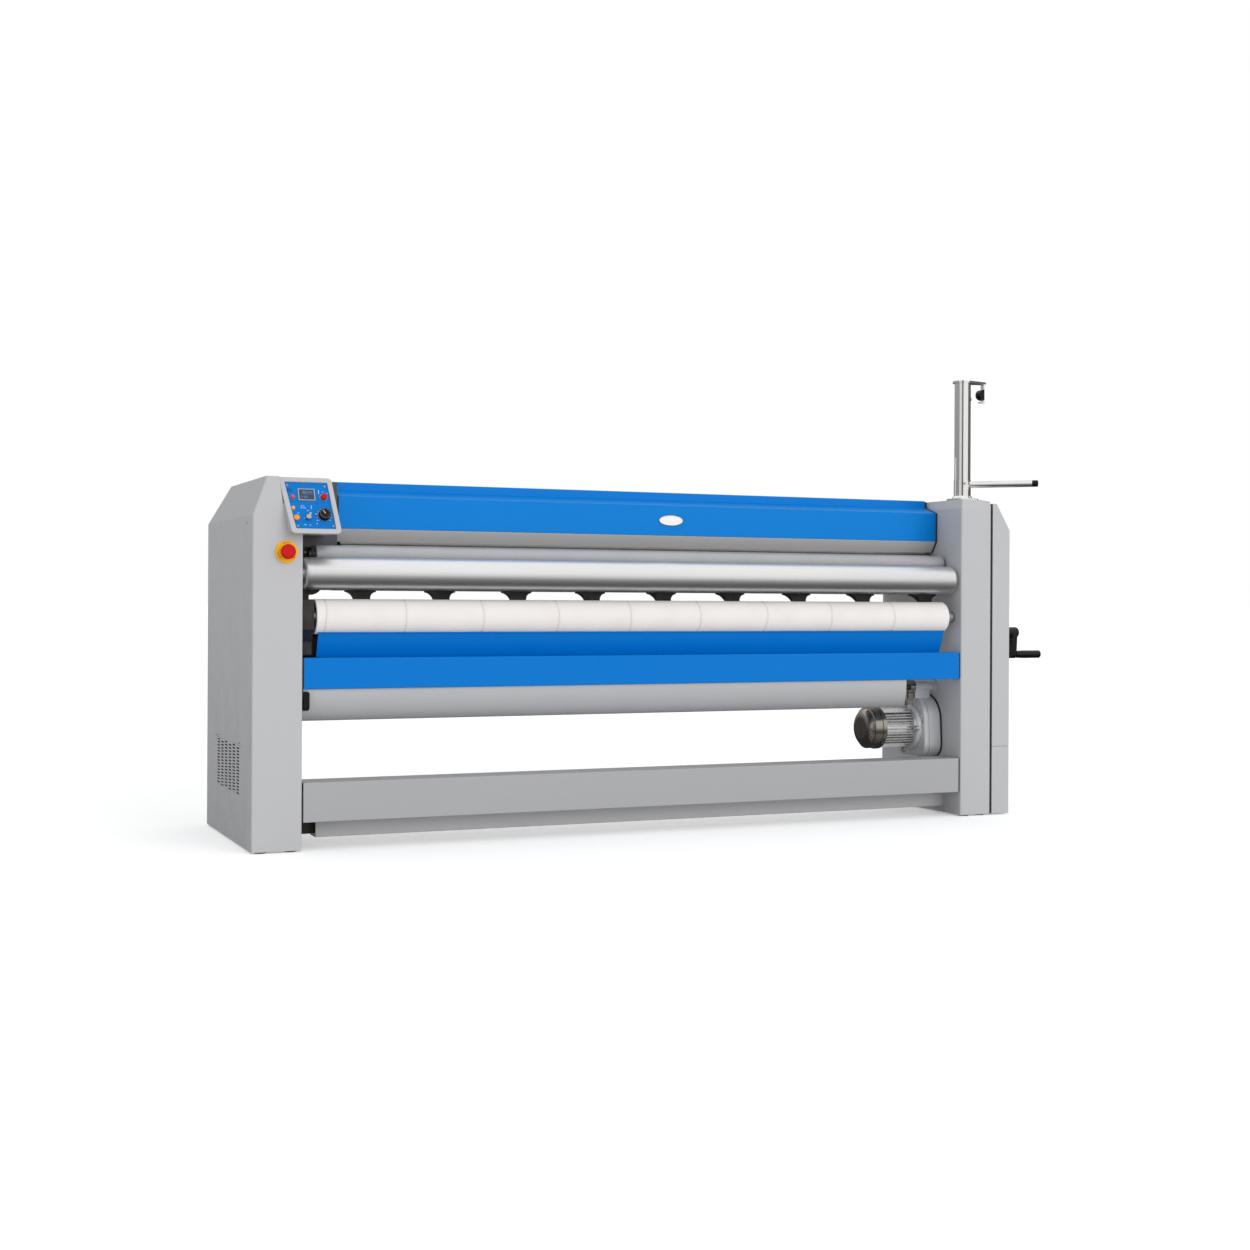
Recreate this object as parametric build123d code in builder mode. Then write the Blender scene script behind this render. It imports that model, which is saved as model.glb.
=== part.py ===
from build123d import *
import math
import os

# Flatwork ironer, in millimetres. X runs along the rollers, -Y is the operator's side, +Z is up.
# The origin is the centre of the bounding box, at the floor.

# ---- driving dimensions
overall_length = 3190  # left tower's outer face to the end of the crank grip
left_tower_width = 168
working_span = 2614  # between the towers' inner faces
right_tower_width = 140
cover_width = 80
cover_gap = 8
left_tower_depth = 820
right_tower_depth = 575
front_reach = 120  # the mast arm's end, ahead of the towers' front faces
body_height = 1250
mast_height = 1726
foot_height = 5
sheet = 3  # sheet metal of the casings
casing_bend = 6  # outer radius of the casings' folded edges

# ---- positions along X
x_left = -overall_length / 2
x_inner_left = x_left + left_tower_width
x_inner_right = x_inner_left + working_span
x_tower_right = x_inner_right + right_tower_width
x_cover = x_tower_right + cover_gap
x_cover_out = x_cover + cover_width
x_chain = x_cover + 34  # middle plane of the drive chain

# ---- positions along Y
y_front = -(left_tower_depth - front_reach) / 2
y_back_left = y_front + left_tower_depth
y_back_right = y_front + right_tower_depth

# ---- roller axes and radii
feed_y, feed_z, feed_radius = y_front + 57, 929, 55
press_y, press_z, press_radius = y_front + 126, 998, 30
delivery_y, delivery_z, delivery_radius = y_front + 64, 784, 54
felt_radius = 59.5
cylinder_y, cylinder_z, cylinder_radius = y_front + 360, 1055, 129.7
motor_y, motor_z = y_front + 240, 340
output_y, output_z = y_front + 245, 405

# ---- shafts and bearings
feed_shaft, delivery_shaft, press_shaft, guide_shaft = 20, 18, 12, 10
journal_radius, journal_bore = 30, 20
output_shaft_radius = 15
running_clearance = 0.05
wall_clearance = 4  # hole in a sheet wall round a shaft
bearing_wall = 18
guide_bearing_wall = 8
bearing_width = 22

# ---- belt round the heated cylinder
belt_middle = 155.5
belt_half_gap = 22.5
belt_thickness = 3
belt_open_angle = 18  # each side of the front
guide_radius = 22.2
tension_radius = 16.7
tension_offset = 161
guide_y = cylinder_y - belt_middle * math.cos(math.radians(belt_open_angle))
guide_rise = belt_middle * math.sin(math.radians(belt_open_angle))
tension_y = cylinder_y + tension_offset

# ---- chain drive
chain_pitch = 19.05
cylinder_teeth, feed_teeth, delivery_teeth, motor_teeth = 33, 14, 15, 15

# ---- console, in its own sloped plane: u along X from the left tower's face, v up the slope
console_tilt = 25
console_foot_y = y_front - 58
console_foot_z = 1061
console_rise = body_height - console_foot_z
console_slope = console_rise / math.cos(math.radians(console_tilt))
console_top = (x_left + 89, x_left + 269)
console_bottom = (x_left + 119, x_left + 286)
console_recess = 7  # the panel lies this far behind the bezel's front
panel_thickness = 2

os.makedirs("parts", exist_ok=True)


# ---- planes and shared shapes
def x_plane(x, y=0, z=0):
    """Plane facing +X, with its local x along Y and its local y along Z."""
    return Plane(origin=(x, y, z), x_dir=(0, 1, 0), z_dir=(1, 0, 0))


def y_plane(y, x=0, z=0):
    """Plane facing the operator, with its local x along X and its local y along Z."""
    return Plane(origin=(x, y, z), x_dir=(1, 0, 0), z_dir=(0, -1, 0))


def console_plane(depth=0, u=0, v=0):
    """Plane of the console's front, depth behind it; u is from the left tower's face."""
    lean = math.radians(console_tilt)
    return Plane(
        origin=(
            x_left + u,
            console_foot_y + v * math.sin(lean) + depth * math.cos(lean),
            console_foot_z + v * math.cos(lean) - depth * math.sin(lean),
        ),
        x_dir=(1, 0, 0),
        z_dir=(0, -math.cos(lean), math.sin(lean)),
    )


console_normal = Axis((0, 0, 0), tuple(console_plane().z_dir))


def rod(x_start, x_end, y, z, radius, mode=Mode.ADD):
    """Cylinder along X."""
    with Locations(x_plane(x_start, y, z)):
        Cylinder(radius, x_end - x_start, align=(Align.CENTER, Align.CENTER, Align.MIN), mode=mode)


def block(x_range, y_range, z_range, mode=Mode.ADD):
    """Box between two corners."""
    with Locations((x_range[0], y_range[0], z_range[0])):
        Box(
            x_range[1] - x_range[0],
            y_range[1] - y_range[0],
            z_range[1] - z_range[0],
            align=(Align.MIN, Align.MIN, Align.MIN),
            mode=mode,
        )


def bent_sheet(points, bend_radius, thickness, x_start, x_end, side=Side.LEFT):
    """Folded sheet along X: (y, z) points of one face, thickened to one side."""
    with BuildSketch(x_plane(x_start)) as profile:
        with BuildLine():
            FilletPolyline(*points, radius=bend_radius)
            offset(amount=thickness, side=side)
        make_face()
    extrude(profile.sketch, amount=x_end - x_start)


def pitch_radius(teeth):
    return chain_pitch / 2 / math.sin(math.pi / teeth)


def sprocket(teeth, y, z):
    """Toothed disc in the chain's plane."""
    width, tip, root, hub_length = 8, 5, 5, 16
    half_step = math.pi / teeth
    outline = []
    for tooth in range(teeth):
        middle = 2 * tooth * half_step
        for shift, radius in (
            (-0.62, pitch_radius(teeth) - root),
            (-0.22, pitch_radius(teeth) + tip),
            (0.22, pitch_radius(teeth) + tip),
            (0.62, pitch_radius(teeth) - root),
        ):
            angle = middle + shift * half_step
            outline.append((radius * math.cos(angle), radius * math.sin(angle)))
    with BuildSketch(x_plane(x_chain - width / 2, y, z)) as disc:
        with BuildLine():
            Polyline(*outline, close=True)
        make_face()
    extrude(disc.sketch, amount=width)
    rod(x_chain - width / 2 - hub_length, x_chain, y, z, pitch_radius(teeth) * 0.55)


def belt_slot(x, half_gap):
    """Closed band round the cylinder, open towards the operator."""
    with BuildSketch(x_plane(x, cylinder_y, cylinder_z)) as band:
        with BuildLine(mode=Mode.PRIVATE):
            path = CenterArc((0, 0), belt_middle, belt_open_angle - 180, 360 - 2 * belt_open_angle)
        SlotArc(path, 2 * half_gap)
    return band.sketch


def wrapped_strand(x, wheels, grow):
    """Closed face at x inside a strand that runs round (y, z, radius) wheels in turn.

    A negative radius means that the strand passes the wheel on its outer side.
    """
    grown = [(y, z, radius + grow) for y, z, radius in wheels]
    normals = []
    for (y1, z1, r1), (y2, z2, r2) in zip(grown, grown[1:] + grown[:1]):
        heading = math.atan2(z2 - z1, y2 - y1)
        normals.append(heading - math.acos((r1 - r2) / math.hypot(y2 - y1, z2 - z1)))
    with BuildSketch(x_plane(x)) as face:
        with BuildLine():
            for index, (y, z, radius) in enumerate(grown):
                arrive, leave = normals[index - 1], normals[index]
                turn = (leave - arrive) % (2 * math.pi)
                if radius < 0:
                    turn -= 2 * math.pi
                ends = []
                for angle in (arrive, arrive + turn / 2, leave):
                    ends.append((y + radius * math.cos(angle), z + radius * math.sin(angle)))
                ThreePointArc(*ends)
                after_y, after_z, after_radius = grown[(index + 1) % len(grown)]
                landing = (
                    after_y + after_radius * math.cos(leave),
                    after_z + after_radius * math.sin(leave),
                )
                Line(ends[2], landing)
        make_face()
    return face.sketch


def write(builder, name):
    """Label a finished piece and write it."""
    builder.part.label = name
    export_step(builder.part, f"parts/{name}.step")


# ---- left tower
tower_chamfer_height = 130
tower_chamfer_width = 46
roof_depth = 615  # behind this the roof slopes down to the back
notch_bottom, notch_depth, notch_play = 1160, 75, 3
console_left = (console_bottom[0], console_top[0])
vent_y, vent_z = (y_front + 200, y_front + 625), (176, 341)
seam_y, seam_z = (y_front + 79, y_front + 694), (343.5, 346)
shafts_through_left = (
    (cylinder_y, cylinder_z, journal_radius),
    (feed_y, feed_z, feed_shaft),
    (delivery_y, delivery_z, delivery_shaft),
)


def console_edge(z, bottom_x, top_x):
    """X of a slanted console edge at height z."""
    share = (z - console_foot_z) / console_rise
    return bottom_x + (top_x - bottom_x) * share


def roof_plane(inset):
    """Sloped plane behind the left tower's roof, moved inwards."""
    run, drop = left_tower_depth - roof_depth, tower_chamfer_height
    length = math.hypot(run, drop)
    return Plane(
        origin=(
            x_left,
            y_front + roof_depth - inset * drop / length,
            body_height - inset * run / length,
        ),
        x_dir=(1, 0, 0),
        z_dir=(0, drop, run),
    )


with BuildSketch(Plane.XZ.offset(-y_front)) as left_profile:
    with BuildLine():
        Polyline(
            (x_left, foot_height),
            (x_left, body_height - tower_chamfer_height),
            (x_left + tower_chamfer_width, body_height),
            (x_inner_left, body_height),
            (x_inner_left, foot_height),
            close=True,
        )
    make_face()

with BuildPart() as left_cavity:
    with BuildSketch(Plane.XZ.offset(-y_front - sheet)):
        add(left_profile.sketch_local.faces())
        offset(amount=-sheet)
    extrude(amount=-left_tower_depth)
    split(bisect_by=roof_plane(sheet), keep=Keep.BOTTOM)

with BuildPart() as left_tower_shell:
    extrude(left_profile.sketch, amount=-left_tower_depth, dir=(0, -1, 0))
    front_edges = left_tower_shell.faces().sort_by(Axis.Y)[0].edges().sort_by(Axis.Z)
    fillet(front_edges[1:], casing_bend)
    split(bisect_by=roof_plane(0), keep=Keep.BOTTOM)
    add(left_cavity.part, mode=Mode.SUBTRACT)
    # notch that the console sits in
    with BuildSketch(Plane.XZ.offset(-y_front)):
        with BuildLine():
            Polyline(
                (console_edge(notch_bottom, *console_left) - notch_play, notch_bottom),
                (console_top[0] - notch_play, body_height),
                (x_inner_left, body_height),
                (x_inner_left, notch_bottom),
                close=True,
            )
        make_face()
    extrude(amount=-notch_depth, mode=Mode.SUBTRACT)
    # the vent grille's place in the outer side, and the seam above it
    block((x_left, x_left + sheet), vent_y, vent_z, mode=Mode.SUBTRACT)
    block((x_left, x_left + 1), seam_y, seam_z, mode=Mode.SUBTRACT)
    for y, z, radius in shafts_through_left:
        rod(x_inner_left - sheet, x_inner_left, y, z, radius + wall_clearance, mode=Mode.SUBTRACT)
write(left_tower_shell, "left_tower_shell")

with BuildPart() as left_back_panel:
    gland_z, gland_hole = 320, 12
    with BuildSketch(Plane.XZ.offset(sheet - y_back_left)):
        add(left_profile.sketch_local.faces())
        offset(amount=-sheet)
    extrude(amount=-sheet)
    split(bisect_by=roof_plane(sheet), keep=Keep.BOTTOM)
    with Locations(y_plane(y_back_left, x_left + left_tower_width / 2, gland_z)):
        Cylinder(gland_hole, 4 * sheet, mode=Mode.SUBTRACT)
write(left_back_panel, "left_back_panel")

with BuildPart() as cable_gland:
    gland_nut, nut_height, gland_bore = 20, 5, 7
    with Locations(y_plane(y_back_left, x_left + left_tower_width / 2, gland_z)):
        Cylinder(gland_hole, sheet, align=(Align.CENTER, Align.CENTER, Align.MIN))
        with Locations((0, 0, sheet)):
            Cylinder(gland_nut, nut_height, align=(Align.CENTER, Align.CENTER, Align.MIN))
        Cylinder(gland_bore, 4 * (sheet + nut_height), mode=Mode.SUBTRACT)
write(cable_gland, "cable_gland")

with BuildPart() as left_vent_grille:
    columns, rows = 6, 15
    slot_length, slot_height = 50, 5.5
    column_step = (vent_y[1] - vent_y[0]) / columns
    row_step = (vent_z[1] - vent_z[0]) / rows
    block((x_left, x_left + sheet), vent_y, vent_z)
    with BuildSketch(x_plane(x_left)):
        for column in range(columns):
            for row in range(rows):
                stagger = row_step / 2 * (column % 2)
                slot_y = vent_y[0] + (column + 0.5) * column_step
                slot_z = vent_z[0] + (row + 0.25) * row_step + stagger
                with Locations((slot_y, slot_z)):
                    Rectangle(slot_length, slot_height)
    extrude(amount=sheet, mode=Mode.SUBTRACT)
write(left_vent_grille, "left_vent_grille")

# ---- console on the left tower
bezel_corner, bezel_band = 14, 17
front_corners = (
    (console_bottom[0] - x_left, 0),
    (console_bottom[1] - x_left, 0),
    (console_top[1] - x_left, console_slope),
    (console_top[0] - x_left, console_slope),
)
stop_u, stop_v = 237, 137
start_u, start_v = 138, 56
selector_u, selector_v = 179, 60
knob_u, knob_v = 233, 69
stop_hole, start_hole, selector_hole, knob_hole = 6, 7, 5, 4
lamp_places = ((132.5, 135.5), (130.5, 94))
display_u, display_v = (151, 209), (122, 168)

button_travel = 2.5

with BuildPart() as console_housing:
    end_box_y = y_front + 165
    with BuildSketch(Plane.XZ.offset(-console_foot_y)):
        with BuildLine():
            Polyline(
                (console_bottom[0], console_foot_z),
                (console_bottom[1], console_foot_z),
                (console_top[1], body_height),
                (console_top[0], body_height),
                close=True,
            )
        make_face()
    extrude(amount=-(end_box_y - console_foot_y))
    split(bisect_by=console_plane(console_recess, console_bottom[0] - x_left), keep=Keep.BOTTOM)
    # room for the tower below and behind its notch
    block((x_left, x_inner_left), (y_front, end_box_y), (0, notch_bottom), mode=Mode.SUBTRACT)
    block(
        (x_left, x_inner_left),
        (y_front + notch_depth, end_box_y),
        (notch_bottom, body_height),
        mode=Mode.SUBTRACT,
    )
    # sockets that the two push buttons' stems sink into
    for u, v, radius in ((stop_u, stop_v, stop_hole), (start_u, start_v, start_hole)):
        with Locations(console_plane(console_recess, u, v)):
            Cylinder(
                radius + running_clearance,
                button_travel + 1,
                align=(Align.CENTER, Align.CENTER, Align.MAX),
                mode=Mode.SUBTRACT,
            )
write(console_housing, "console_housing")

with BuildPart() as console_bezel:
    with BuildSketch(console_plane(console_recess)) as bezel_outline:
        with BuildLine():
            Polyline(*front_corners, close=True)
        make_face()
        fillet(bezel_outline.vertices(), bezel_corner)
    extrude(amount=console_recess)
    with BuildSketch(console_plane(console_recess)) as bezel_opening:
        with BuildLine():
            Polyline(*front_corners, close=True)
        make_face()
        offset(amount=-bezel_band, kind=Kind.INTERSECTION)
        fillet(bezel_opening.vertices(), 4)
    extrude(amount=console_recess, mode=Mode.SUBTRACT)
    fillet(console_bezel.faces().sort_by(console_normal)[-1].edges(), 2)
write(console_bezel, "console_bezel")

with BuildPart() as console_panel:
    panel_gap = 0.5
    with BuildSketch(console_plane(console_recess)) as panel_outline:
        with BuildLine():
            Polyline(*front_corners, close=True)
        make_face()
        offset(amount=-bezel_band - panel_gap, kind=Kind.INTERSECTION)
        fillet(panel_outline.vertices(), 4)
    extrude(amount=panel_thickness)
    for u, v, radius in (
        (stop_u, stop_v, stop_hole),
        (start_u, start_v, start_hole),
        (selector_u, selector_v, selector_hole),
        (knob_u, knob_v, knob_hole),
    ):
        with Locations(console_plane(console_recess, u, v)):
            Cylinder(
                radius + running_clearance,
                panel_thickness,
                align=(Align.CENTER, Align.CENTER, Align.MIN),
                mode=Mode.SUBTRACT,
            )
write(console_panel, "console_panel")

panel_face = console_recess - panel_thickness
with BuildPart() as display:
    frame_height, frame_band, window_depth = 3, 4, 1.5
    frame_middle = (sum(display_u) / 2, sum(display_v) / 2)
    frame_size = (display_u[1] - display_u[0], display_v[1] - display_v[0])
    with BuildSketch(console_plane(panel_face, *frame_middle)):
        Rectangle(*frame_size)
    extrude(amount=frame_height)
    chamfer(display.faces().sort_by(console_normal)[-1].edges(), 1)
    with BuildSketch(console_plane(panel_face - frame_height + window_depth, *frame_middle)):
        Rectangle(frame_size[0] - 2 * frame_band, frame_size[1] - 2 * frame_band)
    extrude(amount=window_depth, mode=Mode.SUBTRACT)
write(display, "display")

with BuildPart() as signal_lamps:
    lamp_radius, lamp_height = 6, 6
    for u, v in lamp_places:
        with Locations(console_plane(panel_face, u, v)):
            Cylinder(lamp_radius, lamp_height, align=(Align.CENTER, Align.CENTER, Align.MIN))
    tops = signal_lamps.faces().sort_by(console_normal)[-2:]
    fillet([edge for face in tops for edge in face.edges()], 2.5)
write(signal_lamps, "signal_lamps")

# Each control has a stem in the panel and a head that stands off by its travel.


def control_head(u, v, stem, radius, height, top_fillet):
    """Stem in the panel's hole, and a head that clears the panel by the travel."""
    with Locations(console_plane(console_recess, u, v)):
        Cylinder(
            stem,
            panel_thickness + button_travel + 1,
            align=(Align.CENTER, Align.CENTER, Align.MIN),
        )
    with Locations(console_plane(panel_face - button_travel - 0.3, u, v)):
        head = Cylinder(radius, height, align=(Align.CENTER, Align.CENTER, Align.MIN))
    fillet(head.faces().sort_by(console_normal)[-1].edges(), top_fillet)


with BuildPart() as stop_button:
    control_head(stop_u, stop_v, stop_hole, 10, 9, 3)
write(stop_button, "stop_button")

with BuildPart() as start_button:
    control_head(start_u, start_v, start_hole, 9.5, 8, 2)
write(start_button, "start_button")

with BuildPart() as selector_switch:
    control_head(selector_u, selector_v, selector_hole, 9, 5, 1)
    with BuildSketch(console_plane(panel_face - button_travel - 5, selector_u, selector_v)):
        SlotOverall(26, 7, rotation=60)
    extrude(amount=9)
write(selector_switch, "selector_switch")

with BuildPart() as speed_knob:
    control_head(knob_u, knob_v, knob_hole, 20, 14, 2)
    with BuildSketch(console_plane(panel_face - button_travel - 14, knob_u, knob_v)):
        with PolarLocations(20.5, 12):
            Circle(2)
    extrude(amount=12, mode=Mode.SUBTRACT)
write(speed_knob, "speed_knob")

# ---- emergency stop on the left tower's front
stop_x, stop_z = x_left + 112, 999
with BuildPart() as e_stop_disc:
    disc_radius, disc_height, neck_radius, neck_height = 37.5, 6, 18, 10
    stem_radius = 9
    with BuildSketch(y_plane(y_front, stop_x, stop_z)):
        Circle(disc_radius)
    extrude(amount=disc_height, taper=8)
    with BuildSketch(y_plane(y_front - disc_height, stop_x, stop_z)):
        Circle(neck_radius)
    extrude(amount=neck_height)
    with Locations(y_plane(y_front, stop_x, stop_z)):
        Cylinder(
            stem_radius + running_clearance,
            disc_height + neck_height,
            align=(Align.CENTER, Align.CENTER, Align.MIN),
            mode=Mode.SUBTRACT,
        )
write(e_stop_disc, "e_stop_disc")

with BuildPart() as e_stop_button:
    stem_depth, head_radius, head_bevel, head_back, head_front = 8, 25, 3, 22, 39
    with BuildSketch(Plane(origin=(stop_x, y_front, stop_z), x_dir=(1, 0, 0), z_dir=(0, 0, 1))):
        with BuildLine():
            Polyline(
                (0, -stem_depth),
                (stem_radius, -stem_depth),
                (stem_radius, -head_back),
                (head_radius - head_bevel, -head_back),
                (head_radius, -head_back - head_bevel),
                (head_radius, -head_front),
                (0, -head_front),
                close=True,
            )
        make_face()
    revolve(axis=Axis((stop_x, y_front, stop_z), (0, 1, 0)))
    fillet(e_stop_button.faces().sort_by(Axis.Y)[0].edges(), 8)
write(e_stop_button, "e_stop_button")

# ---- right tower
shafts_through_right = (
    (cylinder_y, cylinder_z, journal_radius),
    (feed_y, feed_z, feed_shaft),
    (delivery_y, delivery_z, delivery_shaft),
    (output_y, output_z, output_shaft_radius),
)
guide_shafts = (
    (guide_y, cylinder_z + guide_rise),
    (guide_y, cylinder_z - guide_rise),
    (tension_y, cylinder_z),
)
bevel_height, bevel_lean = 36, 12
shoulder_width, shoulder_drop = 48, 6


def bevel_plane(facing, inset):
    """Bevel under the right tower's roof, facing -X or -Y, moved inwards."""
    length = math.hypot(bevel_height, bevel_lean)
    outward = Vector(*facing) * (bevel_height / length) + Vector(0, 0, bevel_lean / length)
    corner = Vector(x_inner_right, y_front, body_height - bevel_height)
    return Plane(
        origin=corner - outward * inset,
        x_dir=Vector(*facing).cross(Vector(0, 0, 1)),
        z_dir=outward,
    )


with BuildSketch(Plane.XZ.offset(-y_front)) as right_profile:
    with BuildLine():
        Polyline(
            (x_inner_right, foot_height),
            (x_inner_right, body_height),
            (x_tower_right - shoulder_width, body_height),
            (x_tower_right, body_height - shoulder_drop),
            (x_tower_right, foot_height),
            close=True,
        )
    make_face()

with BuildPart() as right_cavity:
    with BuildSketch(Plane.XZ.offset(-y_front - sheet)):
        add(right_profile.sketch_local.faces())
        offset(amount=-sheet)
    extrude(amount=-(right_tower_depth - 2 * sheet))
    for facing in ((-1, 0, 0), (0, -1, 0)):
        split(bisect_by=bevel_plane(facing, sheet), keep=Keep.BOTTOM)

with BuildPart() as right_tower_shell:
    extrude(right_profile.sketch, amount=-right_tower_depth, dir=(0, -1, 0))
    for facing in ((-1, 0, 0), (0, -1, 0)):
        split(bisect_by=bevel_plane(facing, 0), keep=Keep.BOTTOM)
    front_edges = right_tower_shell.faces().sort_by(Axis.Y)[0].edges().sort_by(Axis.Z)
    fillet(front_edges[1:-1], casing_bend)
    add(right_cavity.part, mode=Mode.SUBTRACT)
    for y, z, radius in shafts_through_right:
        rod(x_inner_right, x_tower_right, y, z, radius + wall_clearance, mode=Mode.SUBTRACT)
    inner_shafts = [(press_y, press_z, press_shaft)]
    inner_shafts += [(y, z, guide_shaft) for y, z in guide_shafts]
    for y, z, radius in inner_shafts:
        rod(
            x_inner_right,
            x_inner_right + sheet,
            y,
            z,
            radius + wall_clearance,
            mode=Mode.SUBTRACT,
        )
write(right_tower_shell, "right_tower_shell")

# ---- chain cover on the right tower, in two pieces
cover_split = 271
cover_top, cover_slope_bottom, cover_flat = 1235, 1130, 18
crank_y, crank_z = y_front + 45, 723
crank_shaft = 10


def cover_piece(z_bottom, z_top):
    """Part of the cover's shell between two heights, with the inset lip that meets the tower."""
    lip_inset = 8
    with BuildSketch(Plane.XZ.offset(-y_front)) as outline:
        with BuildLine():
            Polyline(
                (x_cover, foot_height),
                (x_cover, cover_top),
                (x_cover + cover_flat, cover_top),
                (x_cover_out, cover_slope_bottom),
                (x_cover_out, foot_height),
                close=True,
            )
        make_face()
    extrude(outline.sketch, amount=-right_tower_depth, dir=(0, -1, 0))
    with BuildSketch(Plane.XZ.offset(-y_front - lip_inset)) as lip:
        with BuildLine():
            Polyline(
                (x_tower_right, foot_height + lip_inset),
                (x_tower_right, cover_top - lip_inset),
                (x_cover, cover_top - lip_inset),
                (x_cover, foot_height + lip_inset),
                close=True,
            )
        make_face()
    extrude(lip.sketch, amount=-(right_tower_depth - 2 * lip_inset), dir=(0, -1, 0))
    with BuildSketch(Plane.XZ.offset(-y_front - sheet)) as hollow:
        with BuildLine():
            Polyline(
                (x_cover + sheet, foot_height + sheet),
                (x_cover + sheet, cover_top - sheet),
                (x_cover + cover_flat, cover_top - sheet),
                (x_cover_out - sheet, cover_slope_bottom),
                (x_cover_out - sheet, foot_height + sheet),
                close=True,
            )
        make_face()
    extrude(
        hollow.sketch,
        amount=-(right_tower_depth - 2 * sheet),
        dir=(0, -1, 0),
        mode=Mode.SUBTRACT,
    )
    lip_wall = lip_inset + sheet
    block(
        (x_tower_right, x_cover + sheet),
        (y_front + lip_wall, y_back_right - lip_wall),
        (foot_height + lip_wall, cover_top - lip_wall),
        mode=Mode.SUBTRACT,
    )
    span = (x_left, -x_left)
    depth = (y_front, y_back_right)
    if z_bottom > 0:
        block(span, depth, (0, z_bottom), mode=Mode.SUBTRACT)
    if z_top < body_height:
        block(span, depth, (z_top, body_height), mode=Mode.SUBTRACT)


with BuildPart() as right_cover_upper:
    boss_depth, boss_height, boss_radius = 30, 8, 24
    cover_piece(cover_split + 1, body_height)
    rod(x_cover_out - boss_depth, x_cover_out + boss_height, crank_y, crank_z, boss_radius)
    rod(
        x_cover_out - boss_depth,
        x_cover_out + boss_height,
        crank_y,
        crank_z,
        crank_shaft + running_clearance,
        mode=Mode.SUBTRACT,
    )
write(right_cover_upper, "right_cover_upper")

with BuildPart() as right_cover_lower:
    cover_piece(0, cover_split)
write(right_cover_lower, "right_cover_lower")

# ---- hood over the cylinder
x_hood = x_left + 330
seal_width = 6
hood_front_y, hood_top_y, hood_back_y = y_front + 172, y_front + 250, y_front + 572
hood_bottom_z, hood_shoulder_z, hood_ridge_z, hood_top_z = 1088, 1200, 1225, 1254
hood_face = (
    (hood_front_y, hood_bottom_z),
    (hood_front_y, hood_shoulder_z),
    (hood_top_y, hood_ridge_z),
    (hood_top_y, hood_top_z),
    (hood_back_y, hood_top_z),
)
with BuildPart() as hood:
    bent_sheet(hood_face, 4, sheet, x_hood, x_inner_right - seal_width, Side.RIGHT)
write(hood, "hood")

with BuildPart() as hood_lip:
    lip_points = (
        (hood_front_y + sheet + 12, hood_bottom_z),
        (hood_front_y, hood_bottom_z),
        (y_front + 203, 1043),
        (y_front + 213, 1043),
    )
    bent_sheet(lip_points, 2, 2, x_hood, x_inner_right - seal_width, Side.LEFT)
write(hood_lip, "hood_lip")

with BuildPart() as hood_seals:
    seal_stand, seal_depth = 3, 14
    for x in (x_hood - seal_width, x_inner_right - seal_width):
        with BuildSketch(x_plane(x)):
            with BuildLine():
                Polyline(
                    (hood_front_y - seal_stand, hood_bottom_z),
                    (hood_front_y - seal_stand, hood_shoulder_z),
                    (hood_top_y - seal_stand, hood_ridge_z + 1),
                    (hood_top_y - seal_stand, hood_top_z - 4),
                    (hood_top_y + seal_depth, hood_top_z - 4),
                    (hood_top_y + seal_depth, hood_ridge_z - 10),
                    (hood_front_y + seal_depth, hood_shoulder_z - 10),
                    (hood_front_y + seal_depth, hood_bottom_z - 10),
                    (y_front + 213, 1043),
                    (y_front + 200, 1043),
                    close=True,
                )
            make_face()
        extrude(amount=seal_width)
write(hood_seals, "hood_seals")

end_box_x = x_hood - seal_width
end_box_z = (985, 1246)
end_box_back = y_front + 560
with BuildPart() as hood_end_box:
    block((x_inner_left, end_box_x), (end_box_y, end_box_back), end_box_z)
    block(
        (x_inner_left, end_box_x - sheet),
        (end_box_y + sheet, end_box_back - sheet),
        (end_box_z[0] + sheet, end_box_z[1] - sheet),
        mode=Mode.SUBTRACT,
    )
    rod(
        end_box_x - sheet,
        end_box_x,
        cylinder_y,
        cylinder_z,
        journal_radius + wall_clearance,
        mode=Mode.SUBTRACT,
    )
    for y, z in guide_shafts:
        rod(end_box_x - sheet, end_box_x, y, z, guide_shaft + wall_clearance, mode=Mode.SUBTRACT)
write(hood_end_box, "hood_end_box")

with BuildPart() as rear_cover:
    rear_points = (
        (hood_back_y - 25, 880),
        (hood_back_y, 880),
        (hood_back_y, hood_top_z),
    )
    bent_sheet(rear_points, 3, sheet, x_inner_left, x_inner_right, Side.RIGHT)
write(rear_cover, "rear_cover")

with BuildPart() as badge_plate:
    with BuildSketch(y_plane(hood_front_y, x_left + 1599, 1144.5)):
        Ellipse(49.5, 19.5)
    extrude(amount=3)
    fillet(badge_plate.faces().sort_by(Axis.Y)[0].edges(), 1.5)
write(badge_plate, "badge_plate")

# ---- rollers at the operator's side
x_drive_end = x_chain + 12
tower_bearing_left = (x_inner_left - sheet - bearing_width, x_inner_left - sheet)
tower_bearing_right = (x_inner_right + sheet, x_inner_right + sheet + bearing_width)
box_bearing = (end_box_x - sheet - bearing_width, end_box_x - sheet)

with BuildPart() as feed_roller:
    roller_end_gap, roller_edge = 13, 10
    rod(x_inner_left + roller_end_gap, x_inner_right - roller_end_gap, feed_y, feed_z, feed_radius)
    fillet(feed_roller.edges().filter_by(GeomType.CIRCLE), roller_edge)
    rod(tower_bearing_left[0], x_drive_end, feed_y, feed_z, feed_shaft)
    sprocket(feed_teeth, feed_y, feed_z)
write(feed_roller, "feed_roller")

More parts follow.
